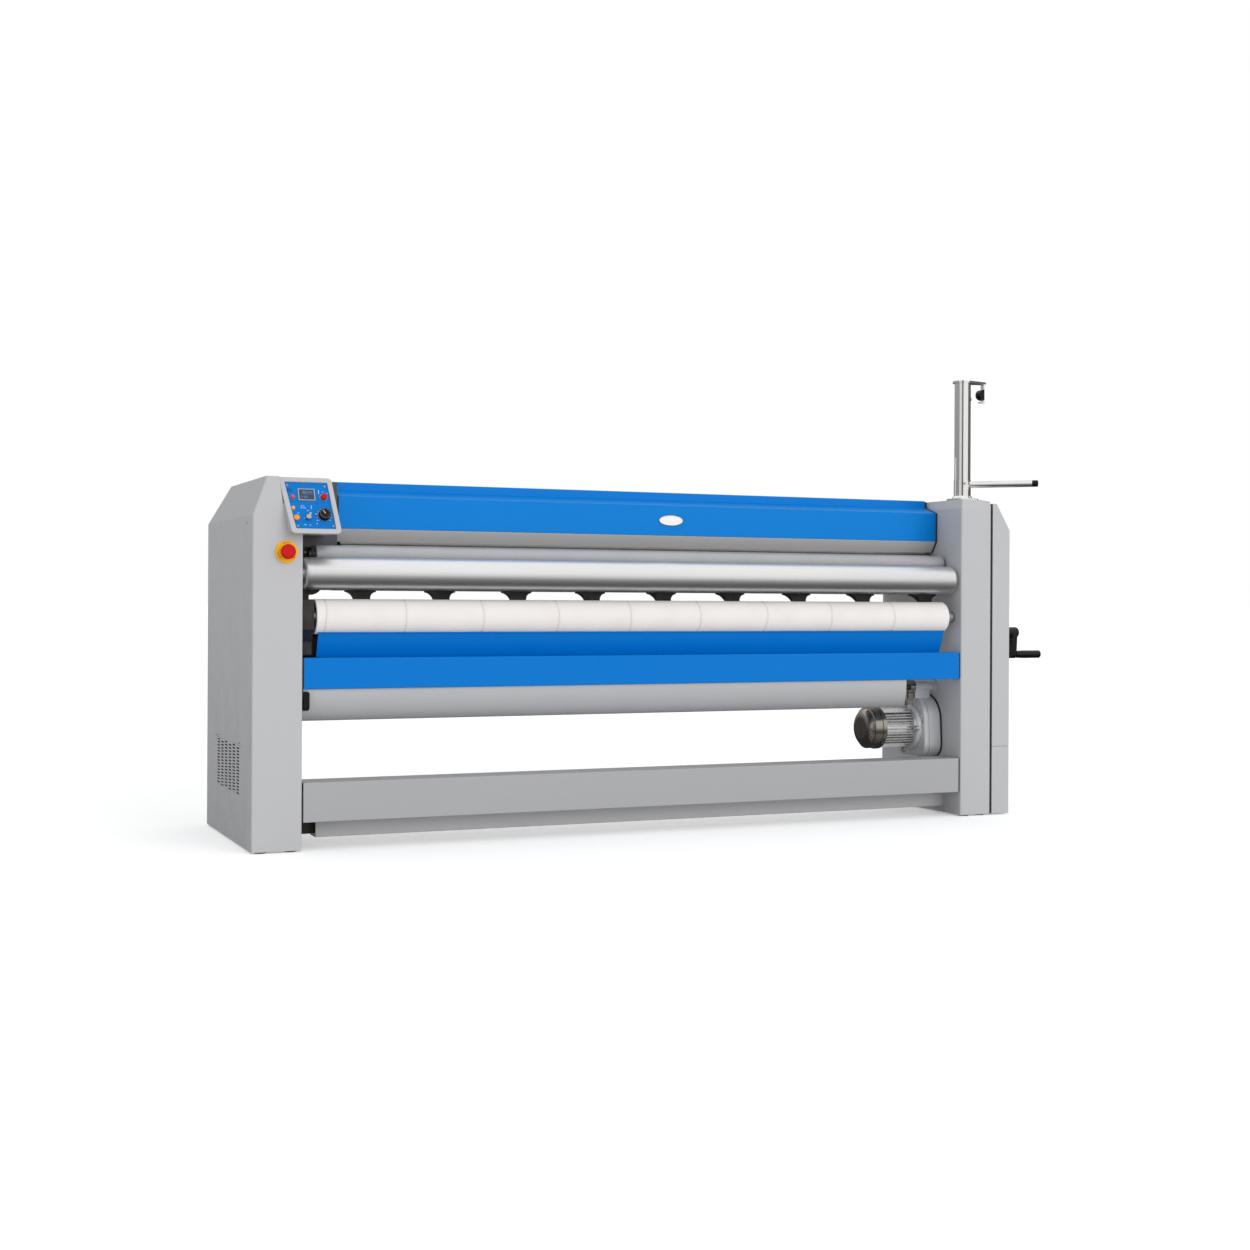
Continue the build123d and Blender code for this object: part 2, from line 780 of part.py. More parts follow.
x_press = x_left + 236
with BuildPart() as press_roller:
    press_end_gap, press_edge, press_stub = 13, 5, 14
    rod(x_press, x_inner_right - press_end_gap, press_y, press_z, press_radius)
    fillet(press_roller.edges().filter_by(GeomType.CIRCLE), press_edge)
    rod(x_press - press_stub, tower_bearing_right[1], press_y, press_z, press_shaft)
write(press_roller, "press_roller")

with BuildPart() as press_roller_bracket:
    bracket_x = (x_press - press_stub, x_press - 4)
    nose_radius, flange_z, flange_reach = 24, (986, 1021), 16
    with BuildSketch(x_plane(bracket_x[0])):
        with Locations((press_y, press_z)):
            Circle(nose_radius)
        with Locations((end_box_y - 4, sum(flange_z) / 2)):
            Rectangle(8, flange_z[1] - flange_z[0])
        make_hull()
        with Locations((press_y, press_z)):
            Circle(press_shaft + running_clearance, mode=Mode.SUBTRACT)
    extrude(amount=bracket_x[1] - bracket_x[0])
    block(
        (bracket_x[0] - flange_reach, bracket_x[1] + flange_reach),
        (end_box_y - 5, end_box_y),
        flange_z,
    )
write(press_roller_bracket, "press_roller_bracket")

felt_gap = 50
with BuildPart() as delivery_roller:
    core_setback = 3  # of the core's ends inside the felt
    rod(
        x_inner_left + felt_gap + core_setback,
        x_inner_right - felt_gap - core_setback,
        delivery_y,
        delivery_z,
        delivery_radius,
    )
    rod(tower_bearing_left[0], x_drive_end, delivery_y, delivery_z, delivery_shaft)
    sprocket(delivery_teeth, delivery_y, delivery_z)
write(delivery_roller, "delivery_roller")

with BuildPart() as felt_cover:
    seam_pitch, seam_first, seam_depth, seam_width = 279, x_left + 246.5, 0.8, 5
    rod(x_inner_left + felt_gap, x_inner_right - felt_gap, delivery_y, delivery_z, felt_radius)
    fillet(felt_cover.edges().filter_by(GeomType.CIRCLE), 5)
    rod(
        x_inner_left + felt_gap,
        x_inner_right - felt_gap,
        delivery_y,
        delivery_z,
        delivery_radius,
        mode=Mode.SUBTRACT,
    )
    for seam in range(9):
        seam_x = seam_first + seam * seam_pitch
        with BuildSketch(x_plane(seam_x, delivery_y, delivery_z)):
            Circle(felt_radius + 1)
            Circle(felt_radius - seam_depth, mode=Mode.SUBTRACT)
        extrude(amount=seam_width, mode=Mode.SUBTRACT)
write(felt_cover, "felt_cover")

# ---- black housing at the delivery roller's left end, with the rail's end bracket
with BuildPart() as left_end_housing:
    housing_x = (x_inner_left, x_inner_left + felt_gap - 5)
    housing_front, housing_back, housing_foot, housing_top = y_front + 28, y_front + 150, 650, 842
    with BuildSketch(x_plane(housing_x[0])) as cheek:
        with BuildLine():
            Polyline(
                (housing_front + 38, housing_foot),
                (housing_front + 38, 700),
                (housing_front, 740),
                (housing_front, housing_top),
                (y_front + 118, housing_top),
                (housing_back, 800),
                (housing_back, housing_foot),
                close=True,
            )
        make_face()
        fillet(cheek.vertices(), 8)
        with Locations((delivery_y, delivery_z)):
            Circle(delivery_shaft + wall_clearance, mode=Mode.SUBTRACT)
    extrude(amount=housing_x[1] - housing_x[0])
    # wider foot behind the tray board
    foot_x, foot_front, foot_top = x_left + 245, y_front + 100, 715
    block((x_inner_left, foot_x), (foot_front, housing_back), (housing_foot, foot_top))
    # post under the rail, and the ear that is bolted to the rail's face
    post_x, post_z = x_left + 217, (790, 874)
    ear_x, ear_y, ear_z = x_left + 257, (y_front + 126, y_front + 131), (850, 905)
    block((x_inner_left, post_x), (ear_y[0], housing_back), post_z)
    with BuildSketch(y_plane(ear_y[1])):
        with BuildLine():
            Polyline(
                (post_x, ear_z[0] + 7),
                (post_x, ear_z[0]),
                (x_inner_left, ear_z[0]),
                (x_inner_left, ear_z[1]),
                (ear_x, ear_z[1]),
                (ear_x, post_z[1]),
            )
            RadiusArc((ear_x, post_z[1]), (post_x, ear_z[0] + 7), 48)
        make_face()
    extrude(amount=ear_y[1] - ear_y[0])
write(left_end_housing, "left_end_housing")

with BuildPart() as roller_bearings:
    ring_places = []
    for y, z, radius in shafts_through_left:
        ring_places.append((tower_bearing_left, y, z, radius))
    for y, z, radius in shafts_through_right[:3]:
        ring_places.append((tower_bearing_right, y, z, radius))
    ring_places.append((tower_bearing_right, press_y, press_z, press_shaft))
    for y, z in guide_shafts:
        ring_places.append((box_bearing, y, z, guide_shaft))
        ring_places.append((tower_bearing_right, y, z, guide_shaft))
    for x_range, y, z, radius in ring_places:
        ring_wall = guide_bearing_wall if radius == guide_shaft else bearing_wall
        with BuildSketch(x_plane(x_range[0], y, z)):
            Circle(radius + ring_wall)
            Circle(radius + running_clearance, mode=Mode.SUBTRACT)
        extrude(amount=x_range[1] - x_range[0])
write(roller_bearings, "roller_bearings")

# ---- guide fingers on their rail
rail_y = y_front + 131
rail_z = (874, 914)
with BuildPart() as finger_rail:
    rail_points = ((rail_y, rail_z[1]), (rail_y, rail_z[0]), (rail_y + 50, rail_z[0]))
    bent_sheet(rail_points, 4.5, 4, x_inner_left, x_inner_right, Side.LEFT)
write(finger_rail, "finger_rail")

finger_count, finger_pitch = 9, 287
finger_places = [x_left + 402 + finger * finger_pitch for finger in range(finger_count)]
with BuildPart() as guide_fingers:
    finger_top, finger_wide, finger_narrow, finger_plate = 908, 100, 60, 5
    follow_radius = felt_radius + 2.5
    waist_z, foot_z = 846, 868
    for place in finger_places:
        with BuildSketch(x_plane(place - finger_wide / 2)) as finger_side:
            with BuildLine():
                tail = math.radians(-40)
                outer_radius = follow_radius + finger_plate
                Line((rail_y - finger_plate, finger_top), (rail_y - finger_plate, delivery_z))
                RadiusArc(
                    (rail_y - finger_plate, delivery_z),
                    (
                        delivery_y + follow_radius * math.cos(tail),
                        delivery_z + follow_radius * math.sin(tail),
                    ),
                    follow_radius,
                )
                Line(
                    (
                        delivery_y + follow_radius * math.cos(tail),
                        delivery_z + follow_radius * math.sin(tail),
                    ),
                    (
                        delivery_y + outer_radius * math.cos(tail),
                        delivery_z + outer_radius * math.sin(tail),
                    ),
                )
                RadiusArc(
                    (
                        delivery_y + outer_radius * math.cos(tail),
                        delivery_z + outer_radius * math.sin(tail),
                    ),
                    (delivery_y + outer_radius, delivery_z),
                    -outer_radius,
                )
                Polyline(
                    (delivery_y + outer_radius, delivery_z),
                    (rail_y, waist_z - 6),
                    (rail_y + 42, foot_z),
                    (rail_y + 42, rail_z[0]),
                    (rail_y, rail_z[0]),
                    (rail_y, finger_top),
                    (rail_y - finger_plate, finger_top),
                )
            make_face()
        extrude(finger_side.sketch, amount=finger_wide)
        with BuildSketch(Plane.XZ.offset(-(rail_y - 2 * finger_plate))) as waist:
            for side in (-1, 1):
                with BuildLine() as edge:
                    edge_wide = place + side * (finger_wide / 2 + 1)
                    edge_narrow = place + side * finger_narrow / 2
                    Line((edge_wide, foot_z), (edge_wide, 700))
                    Line((edge_wide, 700), (edge_narrow, 700))
                    Line((edge_narrow, 700), (edge_narrow, waist_z))
                    ThreePointArc(
                        (edge_narrow, waist_z),
                        (edge_narrow + side * 5, waist_z + 15),
                        (edge_wide, foot_z),
                    )
                make_face(edge.edges())
        extrude(waist.sketch, amount=-100, dir=(0, -1, 0), mode=Mode.SUBTRACT)
write(guide_fingers, "guide_fingers")

# ---- tray: sloped board, front bar, apron
bar_y, bar_z = (y_front + 4, y_front + 64), (541, 646)
bar_gap = 6
bar_x = (x_inner_left + bar_gap, x_inner_right - bar_gap)
with BuildPart() as front_bar:
    pad_inset = 10
    block(bar_x, bar_y, bar_z)
    fillet(front_bar.edges().filter_by(Axis.X), 3)
    block(
        (x_inner_left, x_inner_right),
        (bar_y[0] + pad_inset, bar_y[1] - pad_inset),
        (bar_z[0] + pad_inset, bar_z[1] - pad_inset),
    )
    block(
        (bar_x[0] + sheet, bar_x[1] - sheet),
        (bar_y[0] + sheet, bar_y[1] - sheet),
        (bar_z[0] + sheet, bar_z[1] - sheet),
        mode=Mode.SUBTRACT,
    )
write(front_bar, "front_bar")

with BuildPart() as tray_board:
    board_top = (y_front + 34.5, 728.5)
    board_points = (board_top, (y_front + 97, 570), (bar_y[1], 570))
    board_x = (x_left + 229, x_left + 2725)
    bent_sheet(board_points, 5, sheet, *board_x, Side.LEFT)
    # folded hem along the top edge
    with BuildSketch(x_plane(board_x[0], *board_top)):
        Circle(2.4)
    extrude(amount=board_x[1] - board_x[0])
write(tray_board, "tray_board")

# ---- apron under the bar, open in front of the gearmotor
apron_top, apron_bottom = (y_front + 14, bar_z[0]), (y_front + 135, 427)
apron_bulge = (y_front + 48, 470)
apron_x = (bar_x[0], x_left + 2603)
with BuildPart() as apron:
    apron_thickness = 2.5
    with BuildSketch(x_plane(apron_x[0])):
        with BuildLine():
            Line((y_front + 50, bar_z[0]), apron_top)
            ThreePointArc(apron_top, apron_bulge, apron_bottom)
            Line(apron_bottom, (apron_bottom[0] + 14, apron_bottom[1] + 4))
            offset(amount=apron_thickness, side=Side.LEFT)
        make_face()
    extrude(amount=apron_x[1] - apron_x[0])
    pad_y, pad_z, gusset_point = (y_front + 70, y_front + 90), (450, 500), (y_front + 95, 530)
    block((x_inner_left, apron_x[0]), pad_y, pad_z)
    for x in (apron_x[0], apron_x[1] - sheet):
        with BuildSketch(x_plane(x)):
            with BuildLine():
                Polyline(apron_bottom, gusset_point, apron_top)
                ThreePointArc(apron_top, apron_bulge, apron_bottom)
            make_face()
        extrude(amount=sheet)
write(apron, "apron")

with BuildPart() as apron_end_cap:
    cap_size, cap_height, cap_z, cap_front, cap_back = 20, 64, 501, y_front + 8, y_front + 60
    with BuildSketch(y_plane(cap_back, bar_x[0] + cap_size / 2, cap_z)) as cap_face:
        Rectangle(cap_size, cap_height)
        fillet(cap_face.vertices().group_by(Axis.X)[-1], 9)
    extrude(amount=cap_back - cap_front)
    # its back lies on the apron's curve
    with BuildSketch(x_plane(bar_x[0])):
        with BuildLine():
            ThreePointArc(apron_top, apron_bulge, apron_bottom)
            Polyline(apron_bottom, (apron_bottom[0], bar_z[0]), apron_top)
        make_face()
    extrude(amount=cap_size, mode=Mode.SUBTRACT)
write(apron_end_cap, "apron_end_cap")

# ---- beams and feet
beam_y, beam_z = (y_front + 5, y_front + 130), (96, 229)
with BuildPart() as bottom_beam:
    block(bar_x, beam_y, beam_z)
    fillet(bottom_beam.edges().filter_by(Axis.X), 3)
    block(
        (x_inner_left, x_inner_right),
        (beam_y[0] + pad_inset, beam_y[1] - pad_inset),
        (beam_z[0] + pad_inset, beam_z[1] - pad_inset),
    )
    block(
        (bar_x[0] + sheet, bar_x[1] - sheet),
        (beam_y[0] + sheet, beam_y[1] - sheet),
        (beam_z[0] + sheet, beam_z[1] - sheet),
        mode=Mode.SUBTRACT,
    )
write(bottom_beam, "bottom_beam")

with BuildPart() as sub_beam:
    sub_y, sub_z = (y_front + 112, y_front + 190), (31, beam_z[0])
    sub_points = (
        (sub_y[1], sub_z[1]),
        (sub_y[0], sub_z[1]),
        (sub_y[0], sub_z[0]),
        (sub_y[1], sub_z[0]),
    )
    bent_sheet(sub_points, 4, sheet, x_left + 241, x_inner_right, Side.LEFT)
write(sub_beam, "sub_beam")

with BuildPart() as levelling_feet:
    foot_radius, foot_inset_x, foot_inset_y = 20, 34, 30
    foot_spots = []
    for x_pair, y_back in (
        ((x_left, x_inner_left), y_back_left),
        ((x_inner_right, x_tower_right), y_back_right),
    ):
        for x in (x_pair[0] + foot_inset_x, x_pair[1] - foot_inset_x):
            for y in (y_front + foot_inset_y, y_back - foot_inset_y):
                foot_spots.append((x, y, 0))
    with Locations(*foot_spots):
        Cylinder(foot_radius, foot_height, align=(Align.CENTER, Align.CENTER, Align.MIN))
write(levelling_feet, "levelling_feet")

# ---- heated cylinder, its heaters and the belt round it
drum_x = (x_left + 352, x_inner_right - 12)
with BuildPart() as heated_cylinder:
    drum_wall = 8
    rod(*drum_x, cylinder_y, cylinder_z, cylinder_radius)
    rod(tower_bearing_left[0], drum_x[0], cylinder_y, cylinder_z, journal_radius)
    rod(drum_x[1], x_drive_end, cylinder_y, cylinder_z, journal_radius)
    rod(
        drum_x[0] + drum_wall,
        drum_x[1] - drum_wall,
        cylinder_y,
        cylinder_z,
        cylinder_radius - drum_wall,
        mode=Mode.SUBTRACT,
    )
    rod(
        tower_bearing_left[0],
        drum_x[0] + drum_wall,
        cylinder_y,
        cylinder_z,
        journal_bore,
        mode=Mode.SUBTRACT,
    )
    sprocket(cylinder_teeth, cylinder_y, cylinder_z)
write(heated_cylinder, "heated_cylinder")

with BuildPart() as heater_bundle:
    heater_x = (drum_x[0] + 40, drum_x[1] - 60)
    heater_tube, heater_rod, heater_circle, disc_radius, disc_thickness = 12, 7, 70, 84, 4
    rod(x_left + sheet, heater_x[1], cylinder_y, cylinder_z, heater_tube)
    for turn in range(6):
        angle = turn * math.pi / 3
        rod(
            *heater_x,
            cylinder_y + heater_circle * math.cos(angle),
            cylinder_z + heater_circle * math.sin(angle),
            heater_rod,
        )
    for share in (0, 0.5, 1):
        disc_x = heater_x[0] + share * (heater_x[1] - heater_x[0] - disc_thickness)
        rod(disc_x, disc_x + disc_thickness, cylinder_y, cylinder_z, disc_radius)
write(heater_bundle, "heater_bundle")

with BuildPart() as ironing_belt:
    belt_x = (drum_x[0] + 4, drum_x[1] - 4)
    belt_length = belt_x[1] - belt_x[0]
    extrude(belt_slot(belt_x[0], belt_half_gap + belt_thickness), amount=belt_length)
    extrude(belt_slot(belt_x[0], belt_half_gap), amount=belt_length, mode=Mode.SUBTRACT)
write(ironing_belt, "ironing_belt")

for roller_name, (axis_y, axis_z), radius in (
    ("guide_roller_upper", guide_shafts[0], guide_radius),
    ("guide_roller_lower", guide_shafts[1], guide_radius),
    ("tension_roller", guide_shafts[2], tension_radius),
):
    with BuildPart() as belt_roller:
        rod(*belt_x, axis_y, axis_z, radius)
        rod(box_bearing[0], tower_bearing_right[1], axis_y, axis_z, guide_shaft)
    write(belt_roller, roller_name)

# ---- drive chain: two rows of side plates, clear of the sprockets between them
with BuildPart() as drive_chain:
    plate_gap, plate_thickness, plate_half_height = 5, 3, 8
    wheels = (
        (cylinder_y, cylinder_z, pitch_radius(cylinder_teeth)),
        (feed_y, feed_z, pitch_radius(feed_teeth)),
        (delivery_y, delivery_z, -pitch_radius(delivery_teeth)),
        (output_y, output_z, pitch_radius(motor_teeth)),
    )
    for x in (x_chain - plate_gap - plate_thickness, x_chain + plate_gap):
        extrude(wrapped_strand(x, wheels, plate_half_height), amount=plate_thickness)
        extrude(
            wrapped_strand(x, wheels, -plate_half_height),
            amount=plate_thickness,
            mode=Mode.SUBTRACT,
        )
write(drive_chain, "drive_chain")

# ---- gearmotor
gearbox_x = (x_inner_right - 80, x_inner_right)
adapter_x = (gearbox_x[0] - 22, gearbox_x[0] + 10)
motor_x = (x_left + 2532, adapter_x[0])
cowl_x = (x_left + 2470, x_left + 2544)
motor_radius, fin_tip, adapter_radius = 66, 80, 92
gearbox_crown, crown_z = 105, 366
gearbox_corner, corner_reach, corner_z = 50, 60, 275


def gearbox_outline(x, grow=0):
    """D-shaped face of the gearbox at x, grown all round."""
    with BuildSketch(x_plane(x)) as face:
        with Locations((motor_y, crown_z)):
            Circle(gearbox_crown + grow)
        with Locations((motor_y - corner_reach, corner_z), (motor_y + corner_reach, corner_z)):
            Circle(gearbox_corner + grow)
        make_hull()
    return face.sketch


with BuildPart() as gearbox_housing:
    cover_depth, groove, shaft_wall = 20, 3, 20
    extrude(gearbox_outline(gearbox_x[0], -groove), amount=gearbox_x[1] - gearbox_x[0])
    extrude(gearbox_outline(gearbox_x[0]), amount=cover_depth)
    fillet(gearbox_housing.faces().sort_by(Axis.X)[0].edges(), 9)
    extrude(
        gearbox_outline(gearbox_x[0] + cover_depth + groove),
        amount=gearbox_x[1] - gearbox_x[0] - cover_depth - groove,
    )
    # adapter ring towards the motor, with its screws
    rod(*adapter_x, motor_y, motor_z, adapter_radius)
    chamfer(gearbox_housing.faces().sort_by(Axis.X)[0].edges(), 5)
    screw_radius, screw_height = 5, 4
    with Locations(x_plane(gearbox_x[0], motor_y, motor_z)):
        with PolarLocations(adapter_radius + 7, 6, start_angle=100, angular_range=150):
            Cylinder(screw_radius, screw_height, align=(Align.CENTER, Align.CENTER, Align.MAX))
    rod(
        gearbox_x[0] + shaft_wall,
        gearbox_x[1],
        output_y,
        output_z,
        output_shaft_radius + running_clearance,
        mode=Mode.SUBTRACT,
    )
write(gearbox_housing, "gearbox_housing")

with BuildPart() as motor_body:
    fin_thickness, fin_step, upright_step = 3, 10.5, 12
    flange_thickness, flange_radius, ear_reach, ear_radius = 10, 84, 92, 11
    nut, screw = 6, 4
    shaft_bore, bore_depth, spigot_length = 8, 20, 6
    with BuildSketch(x_plane(motor_x[0], motor_y, motor_z)):
        Circle(motor_radius)
        for fin in range(-6, 7):
            fin_z = fin * fin_step
            with Locations((0, fin_z)):
                Rectangle(2 * math.sqrt(fin_tip**2 - fin_z**2), fin_thickness)
        for fin in range(-2, 3):
            fin_y = fin * upright_step
            with Locations((fin_y, 0)):
                Rectangle(fin_thickness, 2 * math.sqrt(fin_tip**2 - fin_y**2))
    extrude(amount=motor_x[1] - motor_x[0] - flange_thickness)
    # flange with four bolted ears
    with BuildSketch(x_plane(motor_x[1] - flange_thickness, motor_y, motor_z)):
        Circle(flange_radius)
        with PolarLocations(ear_reach, 4):
            Circle(ear_radius)
            Rectangle(2 * ear_radius, 2 * ear_radius, align=(Align.MAX, Align.CENTER))
    extrude(amount=flange_thickness)
    with Locations(x_plane(motor_x[1] - flange_thickness, motor_y, motor_z)):
        with PolarLocations(ear_reach, 4):
            Cylinder(nut, nut, align=(Align.CENTER, Align.CENTER, Align.MAX))
        with PolarLocations(fin_tip - 2, 8, start_angle=22.5):
            Cylinder(screw, screw, align=(Align.CENTER, Align.CENTER, Align.MAX))
    # spigot inside the fan cowl, and the fan shaft's bore
    rod(motor_x[0] - spigot_length, motor_x[0], motor_y, motor_z, motor_radius - spigot_length)
    rod(
        motor_x[0] - spigot_length,
        motor_x[0] + bore_depth,
        motor_y,
        motor_z,
        shaft_bore + running_clearance,
        mode=Mode.SUBTRACT,
    )
write(motor_body, "motor_body")


def cowl_profile(inset):
    """Half section of the fan cowl: domed face, shoulder, body and a raised end band."""
    face_x, end_x = cowl_x[0] + inset, cowl_x[1]
    face_flat, bow_radius, dome_edge, body_radius, band_radius = 40, 62, 76, 81.5, 84.5
    bow_depth, dome_depth, band_length = 6, 22, 16
    with BuildSketch(Plane(origin=(0, motor_y, motor_z), x_dir=(1, 0, 0), z_dir=(0, 1, 0))) as half:
        with BuildLine():
            ThreePointArc(
                (face_x, -face_flat),
                (face_x + bow_depth, inset - bow_radius),
                (face_x + dome_depth, inset - dome_edge),
            )
            Polyline(
                (face_x + dome_depth, inset - dome_edge),
                (face_x + dome_depth + 2, inset - body_radius),
                (end_x - band_length + inset, inset - body_radius),
                (end_x - band_length + inset, inset - band_radius),
                (end_x, inset - band_radius),
                (end_x, 0),
                (face_x, 0),
                (face_x, -face_flat),
            )
        make_face()
    return half.sketch


with BuildPart() as fan_cowl:
    cowl_wall, slot_width = 2.5, 4
    cowl_axis = Axis((0, motor_y, motor_z), (1, 0, 0))
    revolve(cowl_profile(0), axis=cowl_axis)
    revolve(cowl_profile(cowl_wall), axis=cowl_axis, mode=Mode.SUBTRACT)
    # ring slots of the grille, with four ribs left standing
    for radius in (15, 25, 35, 45, 55):
        for quarter in range(4):
            with BuildSketch(x_plane(cowl_x[0], motor_y, motor_z)):
                SlotArc(
                    CenterArc((0, 0), radius, quarter * 90 + 10, 70, mode=Mode.PRIVATE),
                    slot_width,
                )
            extrude(amount=12, mode=Mode.SUBTRACT)
write(fan_cowl, "fan_cowl")

with BuildPart() as motor_fan:
    hub_radius, fan_radius, blade_count = 18, 60, 7
    hub_x = (cowl_x[0] + 18, cowl_x[0] + 46)
    blade_length, blade_thickness, disc_thickness = 42, 3, 3
    rod(hub_x[0] - 4, motor_x[0] + bore_depth - 2, motor_y, motor_z, shaft_bore)
    rod(*hub_x, motor_y, motor_z, hub_radius)
    with BuildSketch(x_plane(hub_x[1] - disc_thickness, motor_y, motor_z)):
        Circle(fan_radius)
    extrude(amount=disc_thickness)
    with BuildSketch(x_plane(hub_x[0] + 4, motor_y, motor_z)):
        with PolarLocations(fan_radius - 1 - blade_length / 2, blade_count):
            Rectangle(blade_length, blade_thickness)
    extrude(amount=hub_x[1] - hub_x[0] - 5)
write(motor_fan, "motor_fan")

with BuildPart() as output_shaft:
    rod(gearbox_x[0] + shaft_wall + 2, x_drive_end, output_y, output_z, output_shaft_radius)
    sprocket(motor_teeth, output_y, output_z)
write(output_shaft, "output_shaft")

# ---- bracket that holds the gearbox: a boss on the tower's wall, hung on a pin
boss_y, boss_z = y_front + 199, 504
boss_x = (x_left + 2688, x_inner_right)
pin_radius = 10
with BuildPart() as gearbox_bracket:
    boss_radius, end_radius, wall_disc, wall_thickness = 20, 23, 30, 10
    web_thickness, web_foot = 26, 420
    rod(*boss_x, boss_y, boss_z, boss_radius)
    rod(boss_x[0], boss_x[0] + 14, boss_y, boss_z, end_radius)
    rod(boss_x[1] - wall_thickness, boss_x[1], boss_y, boss_z, wall_disc)
    fillet(gearbox_bracket.edges().filter_by(GeomType.CIRCLE).group_by(Axis.X)[0], 3)
    with BuildSketch(y_plane(boss_y + web_thickness / 2)):
        with BuildLine():
            Polyline(
                (boss_x[0] + 4, boss_z),
                (boss_x[1] - 22, boss_z),
                (boss_x[1] - 22, web_foot),
                (boss_x[0] + 4, web_foot),
                close=True,
            )
        make_face()
    extrude(amount=web_thickness)
    extrude(gearbox_outline(gearbox_x[0] - 40), amount=120, mode=Mode.SUBTRACT)
    rod(*boss_x, boss_y, boss_z, pin_radius, mode=Mode.SUBTRACT)
write(gearbox_bracket, "gearbox_bracket")

with BuildPart() as bracket_pin:
    pin_end, clamp_x, clamp_radius = x_left + 2652, (x_left + 2664, boss_x[0]), 27
    rod(pin_end, x_inner_right, boss_y, boss_z, pin_radius)
    # hooked clamp plate round the pin
    with BuildSketch(x_plane(clamp_x[0], boss_y, boss_z)):
        Circle(clamp_radius)
        with Locations((6, -26)):
            Rectangle(26, 56)
        with Locations((-15, -15)):
            Rectangle(16, 14, mode=Mode.SUBTRACT)
    extrude(amount=clamp_x[1] - clamp_x[0])
    # hanging rod, cross bolt with its nut, and the knob below
    rod_x, rod_radius, knob_drop, knob_radius = x_left + 2657, 6, 18, 9
    bolt_x, bolt_z, bolt_radius = x_left + 2629, 455, 7
    nut_radius, nut_length = 11, 10
    with Locations((rod_x, boss_y, boss_z)):
        Cylinder(rod_radius, boss_z - bolt_z, align=(Align.CENTER, Align.CENTER, Align.MAX))
    rod(bolt_x, clamp_x[1], boss_y, bolt_z, bolt_radius)
    rod(bolt_x + 3, bolt_x + 3 + nut_length, boss_y, bolt_z, nut_radius)
    with Locations((rod_x, boss_y, bolt_z)):
        Cylinder(rod_radius - 1, knob_drop, align=(Align.CENTER, Align.CENTER, Align.MAX))
    with Locations((rod_x, boss_y, bolt_z - knob_drop)):
        Sphere(knob_radius)
write(bracket_pin, "bracket_pin")

# ---- crank on the chain cover
crank_x = (x_cover_out + boss_height + 0.3, x_cover_out + 70)
arm_x = (x_cover_out + 34, x_cover_out + 60)
arm_length, crank_hub, arm_foot, grip_bolt = 88, 21.5, 15.5, 5
grip_x = (arm_x[1] + 4, x_left + overall_length)
bolt_end = grip_x[1] - 20
with BuildPart() as crank_arm:
    with BuildSketch(x_plane(arm_x[0])):
        with Locations((crank_y, crank_z)):
            Circle(crank_hub)
        with Locations((crank_y, crank_z - arm_length)):
            Circle(arm_foot)
        make_hull()
    extrude(amount=arm_x[1] - arm_x[0])
    fillet(crank_arm.faces().sort_by(Axis.X)[-1].edges(), 4)

with BuildPart() as crank:
    rod(x_cover_out - boss_depth, crank_x[1], crank_y, crank_z, crank_shaft)
    rod(*crank_x, crank_y, crank_z, crank_hub)
    fillet(crank.faces().sort_by(Axis.X)[-1].edges(), 9)
    add(crank_arm.part)
    rod(arm_x[1], bolt_end, crank_y, crank_z - arm_length, grip_bolt)
write(crank, "crank")

with BuildPart() as crank_grip:
    grip_z = crank_z - arm_length
    with BuildSketch(Plane(origin=(0, crank_y, grip_z), x_dir=(1, 0, 0), z_dir=(0, 1, 0))):
        with BuildLine():
            Spline(
                (grip_x[0], -13.5),
                (grip_x[0] + 24, -15.2),
                (grip_x[0] + 70, -15.4),
                (grip_x[1], -15.8),
            )
            Polyline((grip_x[1], -15.8), (grip_x[1], 0), (grip_x[0], 0), (grip_x[0], -13.5))
        make_face()
    revolve(axis=Axis((0, crank_y, grip_z), (1, 0, 0)))
    fillet(crank_grip.faces().sort_by(Axis.X)[-1].edges(), 6)
    rod(
        grip_x[0],
        bolt_end + 0.5,
        crank_y,
        grip_z,
        grip_bolt + running_clearance,
        mode=Mode.SUBTRACT,
    )
write(crank_grip, "crank_grip")

# ---- mast on the right tower
mast_x, mast_y = x_left + 2846, y_front + 90
tube_radius = 32
spigot_radius = 22
collar_z = (1268, 1330)
with BuildPart() as mast_base:
    base_thickness, lobe_radius, lobe_reach = 6, 15, 48
    gusset_radius, gusset_height = 46, collar_z[0] - body_height - 0.3
    spigot_height = 70
    with BuildSketch(Plane.XY.offset(body_height)):
        with Locations((mast_x, mast_y)):
            with PolarLocations(lobe_reach, 4, start_angle=45):
                Circle(lobe_radius)
        make_hull()
    extrude(amount=base_thickness)
    with BuildSketch(Plane.XY.offset(body_height)):
        with Locations((mast_x, mast_y)):
            Circle(gusset_radius)
    extrude(amount=gusset_height, taper=32)
    with Locations((mast_x, mast_y, body_height)):
        Cylinder(spigot_radius, spigot_height, align=(Align.CENTER, Align.CENTER, Align.MIN))
write(mast_base, "mast_base")

arm_angle = -43
arm_z, arm_radius = 1313, 13
cap_length, cap_round = 22, 4
# the cap's rounded rim is the foremost point of the machine
rim_depth = cap_round + (arm_radius - cap_round) * math.cos(math.radians(arm_angle))
arm_reach = cap_round + (mast_y - y_front + front_reach - rim_depth) / math.sin(math.radians(-arm_angle))


